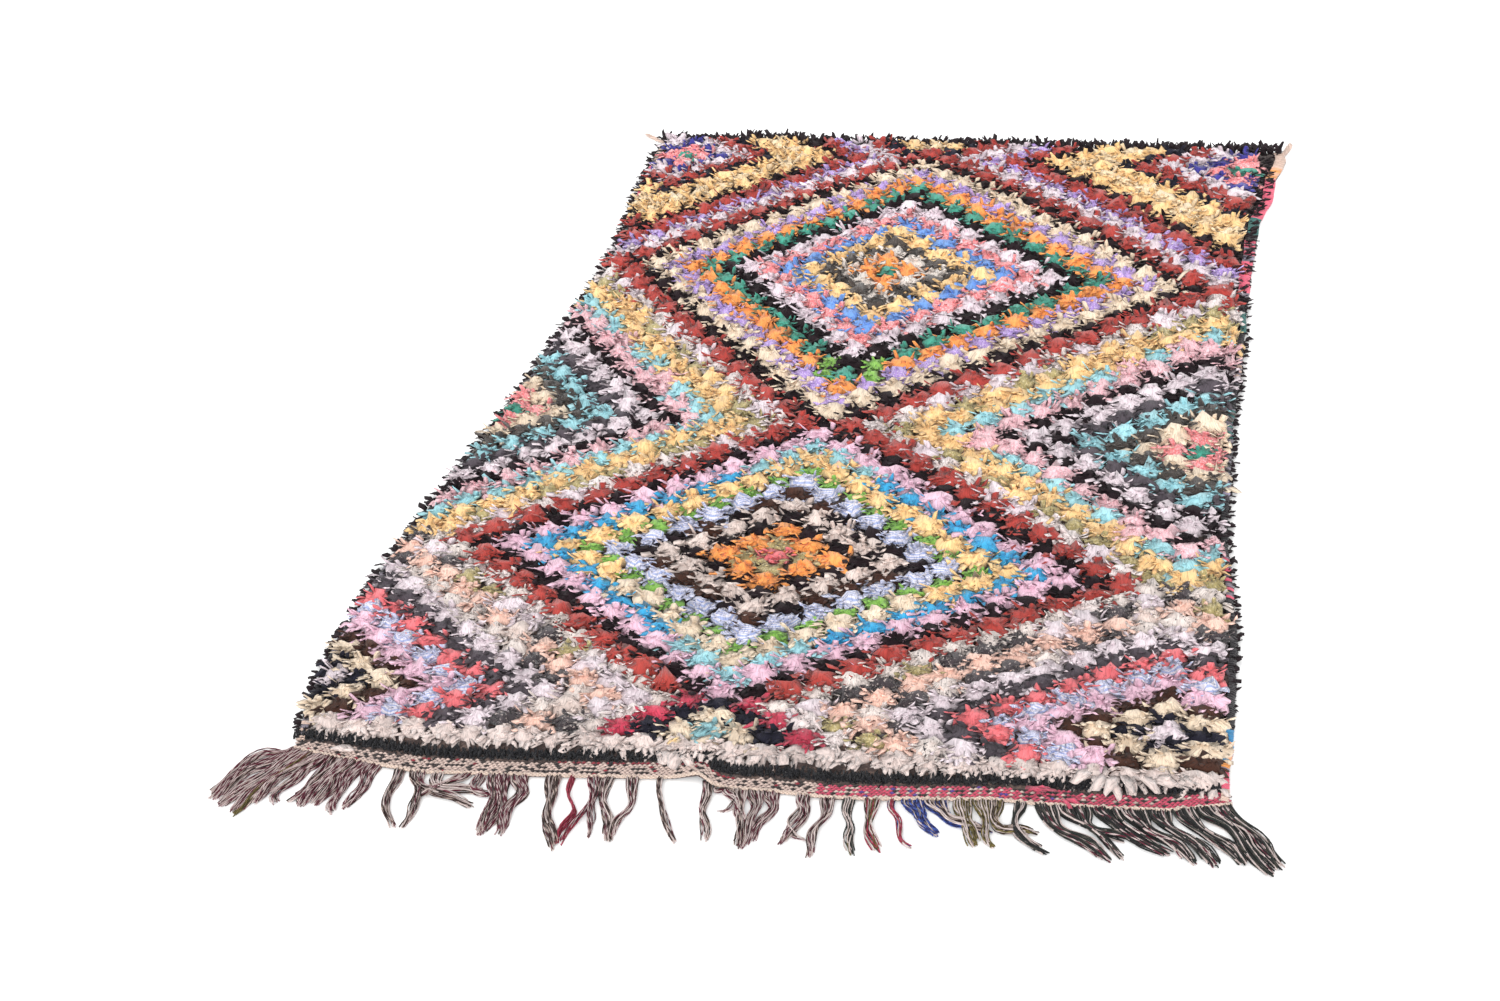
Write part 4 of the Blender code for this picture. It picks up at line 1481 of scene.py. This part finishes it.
@dataclass
class Fringe:
    """The warp ends left loose at the front, lying on the floor in uneven hanks."""

    radius: float = 0.00130
    stations: int = 14

    def build(self) -> list:
        """Lays every hank.

        Returns:
            One piece for each yarn.
        """
        rng = np.random.default_rng(41)
        yarns: dict[Marl, list] = {}
        for hank in HANKS:
            for marl, path in self._hank(hank, rng):
                yarns.setdefault(marl, []).append(path)
        pieces = []
        for marl, paths in yarns.items():
            run = np.array(paths)
            taper = self.radius * np.linspace(1.05, 0.85, self.stations)
            thin = taper * rng.uniform(0.85, 1.15, (len(run), 1))
            strips = tubes(run, thin, np.clip(rng.normal(0.5, 0.25, len(run)), 0, 1), corners=3)
            strips.metres += rng.random((len(run), 1)) * 0.05
            pieces.append(make_piece(f"fringe_{marl.name.lower()}", marl.value, [strips]))
        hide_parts("front_fringe")
        LOG.info("fringe: %d yarns in %d hanks", sum(len(p) for p in yarns.values()), len(HANKS))
        return pieces

    def _hank(self, hank: Hank, rng: np.random.Generator) -> list:
        """Lays the yarns of one hank.

        Args:
            hank: Its roots, way and yarns.
            rng: The fringe's own random numbers.

        Returns:
            Pairs of yarn and path.
        """
        t = np.linspace(0, 1, self.stations)
        found = []
        count = round(hank.yarns * 2.5)
        order = rng.permutation(count)
        sway, start = rng.uniform(0.0016, 0.0042), rng.uniform(0, 2 * math.pi)
        waves = rng.uniform(6.0, 10.0)
        for i in range(count):
            share = (i + 0.5) / count
            x = hank.left + (hank.right - hank.left) * share
            root = (x * 0.8 + 0.2 * hank.way[0][0], cord_line(x) - 0.014)
            way = np.array([(x, cord_line(x)), root, *hank.way])
            knots = np.concatenate([[0], np.cumsum(np.linalg.norm(np.diff(way, axis=0), axis=1))])
            knots /= knots[-1]
            curve = smooth_way(way, knots, t * (rng.uniform(0.90, 1.04) - 0.07 * abs(2 * share - 1)))
            ahead = np.gradient(curve, axis=0)
            ahead /= np.linalg.norm(ahead, axis=1, keepdims=True) + 1e-12
            side = np.stack([ahead[:, 1], -ahead[:, 0]], -1)
            lie = (share - 0.5) * 2 * np.sign(side[0, 0] or 1.0)
            pinch = np.interp(t, (0, 0.3, 0.75, 1.0), (0.0, 0.60, 0.85, 0.50))
            wander = 0.0017 * np.sin(t * rng.uniform(6, 14) + rng.uniform(0, 6.28)) * t**0.5
            wander += sway * (np.sin(t * waves + start) - math.sin(start)) * np.minimum(t * 3, 1)
            offset = hank.spread * 0.85 * lie * pinch + wander + rng.normal(0, 0.0020) * t**2
            heap = np.interp(t, (0, 0.2, 0.75, 1.0), (0.6, 1, 1, 0.3))
            level = self.radius + (order[i] % 4) * self.radius * 1.5 * heap
            curve = curve + side * offset[:, None]
            found.append((hank.marls[i % len(hank.marls)], np.column_stack([curve, level + 0.0002])))
        return found


def smooth_way(way: np.ndarray, knots: np.ndarray, at: np.ndarray) -> np.ndarray:
    """Follows a rounded curve through a few points.

    Args:
        way: The points, of shape (n, 2).
        knots: The share of the length at each point.
        at: The shares that are wanted.

    Returns:
        Points on the curve, of shape (len(at), 2).
    """
    slopes = np.gradient(way, knots, axis=0)
    i = np.clip(np.searchsorted(knots, at, side="right") - 1, 0, len(knots) - 2)
    span = knots[i + 1] - knots[i]
    s = np.clip((at - knots[i]) / span, 0, 1.15)[:, None]
    a, b = way[i], way[i + 1]
    da, db = slopes[i] * span[:, None], slopes[i + 1] * span[:, None]
    return (
        (2 * s**3 - 3 * s**2 + 1) * a + (s**3 - 2 * s**2 + s) * da
        + (-2 * s**3 + 3 * s**2) * b + (s**3 - s**2) * db
    )


def wrapping(name: str, colour: str) -> TextileFinish:
    """Returns cotton rag wound over the edge: dull and worn, creased across the turn."""
    return TextileFinish(f"cotton_wrap_{name}", colour, slot="ground_weft")


class EdgeRag(Enum):
    """Cloths wrapped over the selvages and corners."""

    CORAL = wrapping("coral", "#E2607A")
    PEACH = wrapping("peach", "#EDB08C")
    BEIGE = wrapping("beige", "#D3B7A8")
    TEAL = wrapping("teal", "#2F6A66")
    BLACK = wrapping("black", "#211D22")
    GREY = wrapping("grey", "#7C7480")
    LILAC = wrapping("lilac", "#A69CB8")
    BLUE = wrapping("blue", "#3C8FC4")
    ORANGE = wrapping("orange", "#E59A55")


E = EdgeRag
# Where each cloth of the right selvage starts, from the back to the front
RIGHT_WRAPS = (
    (1.100, (E.BEIGE,)), (1.005, (E.PEACH, E.ORANGE, E.PEACH)), (0.955, (E.CORAL,)), (0.755, (E.TEAL,)),
    (0.685, (E.BLACK,)), (0.655, (E.CORAL, E.CORAL, E.GREY)), (0.590, (E.LILAC, E.GREY)), (0.565, (E.CORAL,)),
    (0.430, (E.GREY,)), (0.400, (E.BLACK,)), (0.345, (E.TEAL,)),
    (0.270, (E.BLACK,)), (0.170, (E.BEIGE, E.GREY)),
    (0.070, (E.BLACK,)), (-0.020, (E.TEAL, E.GREY)), (-0.120, (E.BLACK, E.GREY)), (-0.240, (E.LILAC, E.GREY)),
    (-0.320, (E.BLACK,)), (-0.500, (E.CORAL, E.GREY, E.BLACK)), (-0.620, (E.BLACK,)), (-0.955, (E.BLUE,)),
    (-0.985, (E.ORANGE, E.BLUE, E.PEACH, E.LILAC)), (-1.055, (E.CORAL,)), (-1.095, (E.BEIGE,)),
)
LEFT_WRAPS = (
    (1.100, (E.BLACK, E.BEIGE)), (0.960, (E.CORAL,)), (0.740, (E.TEAL, E.BLACK)), (0.600, (E.BLACK,)),
    (0.300, (E.GREY, E.BLACK)), (-0.100, (E.BLACK,)), (-0.500, (E.GREY, E.BLACK)), (-0.900, (E.BLACK,)),
    (-1.050, (E.BEIGE, E.GREY)),
)


@dataclass
class Selvages:
    """The outer warps at both long edges, wrapped closely with the rag wefts as they turn back."""

    pitch: float = 0.0046
    left_reach: float = 0.014
    right_reach: float = 0.022

    def build(self) -> list:
        """Wraps both edges.

        Returns:
            One piece for each cloth.
        """
        rng = np.random.default_rng(51)
        wraps: dict[EdgeRag, list] = {}
        for order, edge, sign, reach in (
            (LEFT_WRAPS, left_edge, -1.0, self.left_reach),
            (RIGHT_WRAPS, right_edge, 1.0, self.right_reach),
        ):
            for number, y in enumerate(np.arange(-1.118, 1.088, self.pitch)):
                cloths = [c for start, c in order if y <= start][-1]
                cloth = cloths[number // 2 % len(cloths)]
                shown = reach * np.interp(y, (0.30, 0.40), (0.5, 1.0)) if sign > 0 else reach
                wraps.setdefault(cloth, []).append(self._wrap(y, edge, sign, float(shown), rng))
        pieces = []
        for cloth, found in wraps.items():
            run = np.array([w[0] for w in found])
            size = np.array([w[1] for w in found])
            strips = tubes(run, size, np.clip(rng.normal(0.5, 0.22, len(run)), 0, 1), corners=5, flat=0.8)
            pieces.append(make_piece(f"selvage_{cloth.name.lower()}", cloth.value, [strips]))
        LOG.info("selvages: %d wraps", sum(len(w) for w in wraps.values()))
        return pieces

    def _wrap(
        self, y: float, edge: Callable[[float], float], sign: float, reach: float, rng: np.random.Generator
    ) -> tuple[np.ndarray, np.ndarray]:
        """Lays one weft over the edge.

        Args:
            y: Its place along the rug.
            edge: The function that gives the edge's x.
            sign: -1 on the left and 1 on the right.
            reach: How far inward it shows.
            rng: The selvages' own random numbers.

        Returns:
            Its path and its radii.
        """
        turn = np.linspace(0, 1, 6)
        bulge = 0.0035 * math.sin(y * 23) ** 2 if sign > 0 else 0.0
        loose = math.sin(min(max((y - 0.74) / 0.22, 0.0), 1.0) * math.pi) if sign > 0 else 0.0
        out = edge(y) - sign * (0.0025 - 0.007 * loose - 0.0016 * math.sin(y * 61) * math.sin(y * 17))
        high = 0.0062 + bulge + rng.normal(0, 0.0005)
        angle = np.interp(turn, (0, 0.45, 1), (0, math.pi / 2, math.pi))
        inward = reach * np.interp(turn, (0, 0.45, 1), (1.0, 0.0, 0.7))
        x = out - sign * inward * (1 - np.sin(angle) * 0.15)
        z = 0.0044 + (high - 0.0044) * np.cos(angle) * np.where(turn < 0.45, 1.0, 0.55)
        z = np.maximum(z, 0.0024)
        lean = rng.normal(0, 0.0008) + 0.002 * (turn - 0.5)
        radius = np.full(6, self.pitch * 0.56) * rng.uniform(0.85, 1.2)
        return np.column_stack([x, y + lean, z]), radius


@dataclass
class CornerTails:
    """The two twisted ends of the edge rags at the back corners: the ways they lie, and their radii."""

    left_way: tuple = ((-0.616, 1.084), (-0.634, 1.096), (-0.648, 1.108), (-0.660, 1.119), (-0.6705, 1.1285))
    right_way: tuple = ((0.648, 1.078), (0.654, 1.096), (0.658, 1.112), (0.661, 1.126), (0.664, 1.1400))
    left_radius: float = 0.0024
    right_radius: float = 0.0032

    def build(self) -> list:
        """Twists both tails.

        Returns:
            The left and the right piece.
        """
        rng = np.random.default_rng(61)
        left = self._tail(self.left_way, self.left_radius, 5, rng)
        right = self._tail(self.right_way, self.right_radius, 7, rng)
        left_piece = make_piece("corner_rag_left", EdgeRag.BEIGE.value, [left])
        right_piece = make_piece("corner_rag_right", EdgeRag.BEIGE.value, [right])
        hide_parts("corner_tail_left")
        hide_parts("corner_tail_right")
        LOG.info("corner tails: 2")
        return [left_piece, right_piece]

    @staticmethod
    def _tail(
        way: tuple[tuple[float, float], ...], size: float, rags: int, rng: np.random.Generator
    ) -> Strips:
        """Twists one tail.

        Args:
            way: Its middle line, seen from above.
            size: Radius of the twist.
            rags: How many rags it has.
            rng: The tails' own random numbers.

        Returns:
            The strips.
        """
        points = np.array(way)
        t = np.linspace(0, 1, 22)
        middle = np.column_stack([np.interp(t * 4, range(5), points[:, i]) for i in (0, 1)])
        ahead = points[-1] - points[0]
        ahead = ahead / np.linalg.norm(ahead)
        side = np.array([ahead[1], -ahead[0]])
        paths = []
        for i in range(rags):
            angle = t * 7.0 + i * 2 * math.pi / rags
            wide = size * (1 + 0.35 * t) * rng.uniform(0.8, 1.1)
            flat = middle + side * (np.cos(angle) * wide)[:, None]
            flat = flat + ahead * rng.uniform(-0.006, 0.0) * t[:, None]
            paths.append(np.column_stack([flat, 0.0052 + np.sin(angle) * wide * 0.75]))
        tone = np.clip(rng.normal(0.5, 0.3, rags), 0, 1)
        return tubes(np.array(paths), size * np.interp(t, (0, 0.8, 1), (0.62, 0.62, 0.3)), tone, corners=6)


@dataclass
class Studio:
    """A pale floor, soft light all round, and the camera."""

    camera_place: tuple[float, float, float] = (0.7277, -4.0341, 2.1065)
    camera_turn: tuple[float, float, float] = (1.0581, 0.0608, 0.1994)
    lens_mm: float = 64.8
    sensor_mm: float = 36.0
    sun_from: tuple[float, float, float] = (0.6, -4.8, 2.7)
    sun_strength: float = 3.1
    sun_spread: float = 35.0
    lamp_size: float = 3.0
    sky_strength: float = 0.9
    floor_reach: float = 14.0
    floor_level: float = -0.0006

    def build(self) -> None:
        """Sets the floor, the lights and the camera."""
        self._floor()
        self._sky()
        self._sun()
        self._lamp("left_light", (-3.2, 0.4, 3.0), 60.0)
        self._lamp("back_light", (1.6, 3.4, 3.2), 50.0)
        camera = bpy.data.cameras.new("camera")
        camera.lens = self.lens_mm
        camera.sensor_width = self.sensor_mm
        holder = bpy.data.objects.new("camera", camera)
        holder.location = self.camera_place
        holder.rotation_euler = self.camera_turn
        bpy.context.scene.collection.objects.link(holder)
        bpy.context.scene.camera = holder
        # Plain tones without a film curve, so each cloth shows as the colour that it is given
        bpy.context.scene.view_settings.view_transform = "Standard"
        LOG.info("studio set")

    def _floor(self) -> None:
        """Lays the floor just under the rug."""
        size, level = self.floor_reach, self.floor_level
        mesh = bpy.data.meshes.new("studio_floor")
        corners = ((-size, -size, level), (size, -size, level), (size, size, level), (-size, size, level))
        mesh.from_pydata(corners, [], [(0, 1, 2, 3)])
        thing = bpy.data.objects.new("studio_floor", mesh)
        bpy.context.scene.collection.objects.link(thing)
        mat = bpy.data.materials.new("matt_paper_white")
        mat.use_nodes = True
        shader = mat.node_tree.nodes["Principled BSDF"]
        shader.inputs["Base Color"].default_value = linear("#F6F6F6")
        shader.inputs["Roughness"].default_value = 0.9
        mesh.materials.append(mat)

    def _sky(self) -> None:
        """Sets an even white light from all sides."""
        world = bpy.data.worlds.new("studio_sky")
        world.use_nodes = True
        sky = world.node_tree.nodes["Background"]
        sky.inputs["Color"].default_value = (1.0, 1.0, 1.0, 1.0)
        sky.inputs["Strength"].default_value = self.sky_strength
        bpy.context.scene.world = world

    def _sun(self) -> None:
        """Sets a wide, even light from the front, as a row of studio windows gives."""
        lamp = bpy.data.lights.new("front_light", "SUN")
        lamp.energy = self.sun_strength
        lamp.angle = math.radians(self.sun_spread)
        self._hang(lamp, self.sun_from)

    def _lamp(self, name: str, place: tuple[float, float, float], watts: float) -> None:
        """Sets one soft square lamp.

        Args:
            name: The lamp's name.
            place: Where it hangs.
            watts: Its power.
        """
        lamp = bpy.data.lights.new(name, "AREA")
        lamp.shape = "SQUARE"
        lamp.size = self.lamp_size
        lamp.energy = watts
        self._hang(lamp, place)

    @staticmethod
    def _hang(lamp: bpy.types.Light, place: tuple[float, float, float]) -> None:
        """Hangs a lamp, turned to the middle of the rug.

        Args:
            lamp: The lamp.
            place: Where it hangs.
        """
        holder = bpy.data.objects.new(lamp.name, lamp)
        holder.location = place
        x, y, z = place
        holder.rotation_euler = (math.atan2(math.hypot(x, y), z), 0.0, math.atan2(x, -y))
        bpy.context.scene.collection.objects.link(holder)


def main() -> None:
    """Builds the rug in order, from the ground up, and sets the studio."""
    logging.basicConfig(level=logging.INFO, format="%(message)s")
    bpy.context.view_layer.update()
    ground = GroundCloth().build()
    pile = RagPile().build()
    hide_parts("rag_pile")
    band = WoolBand().build()
    floats = FlatWovenEnd().build()
    loose = LooseRags().build()
    cord = EndCord().build()
    fringe = Fringe().build()
    edges = Selvages().build()
    tails = CornerTails().build()
    Studio().build()


if __name__ == "__main__":
    main()
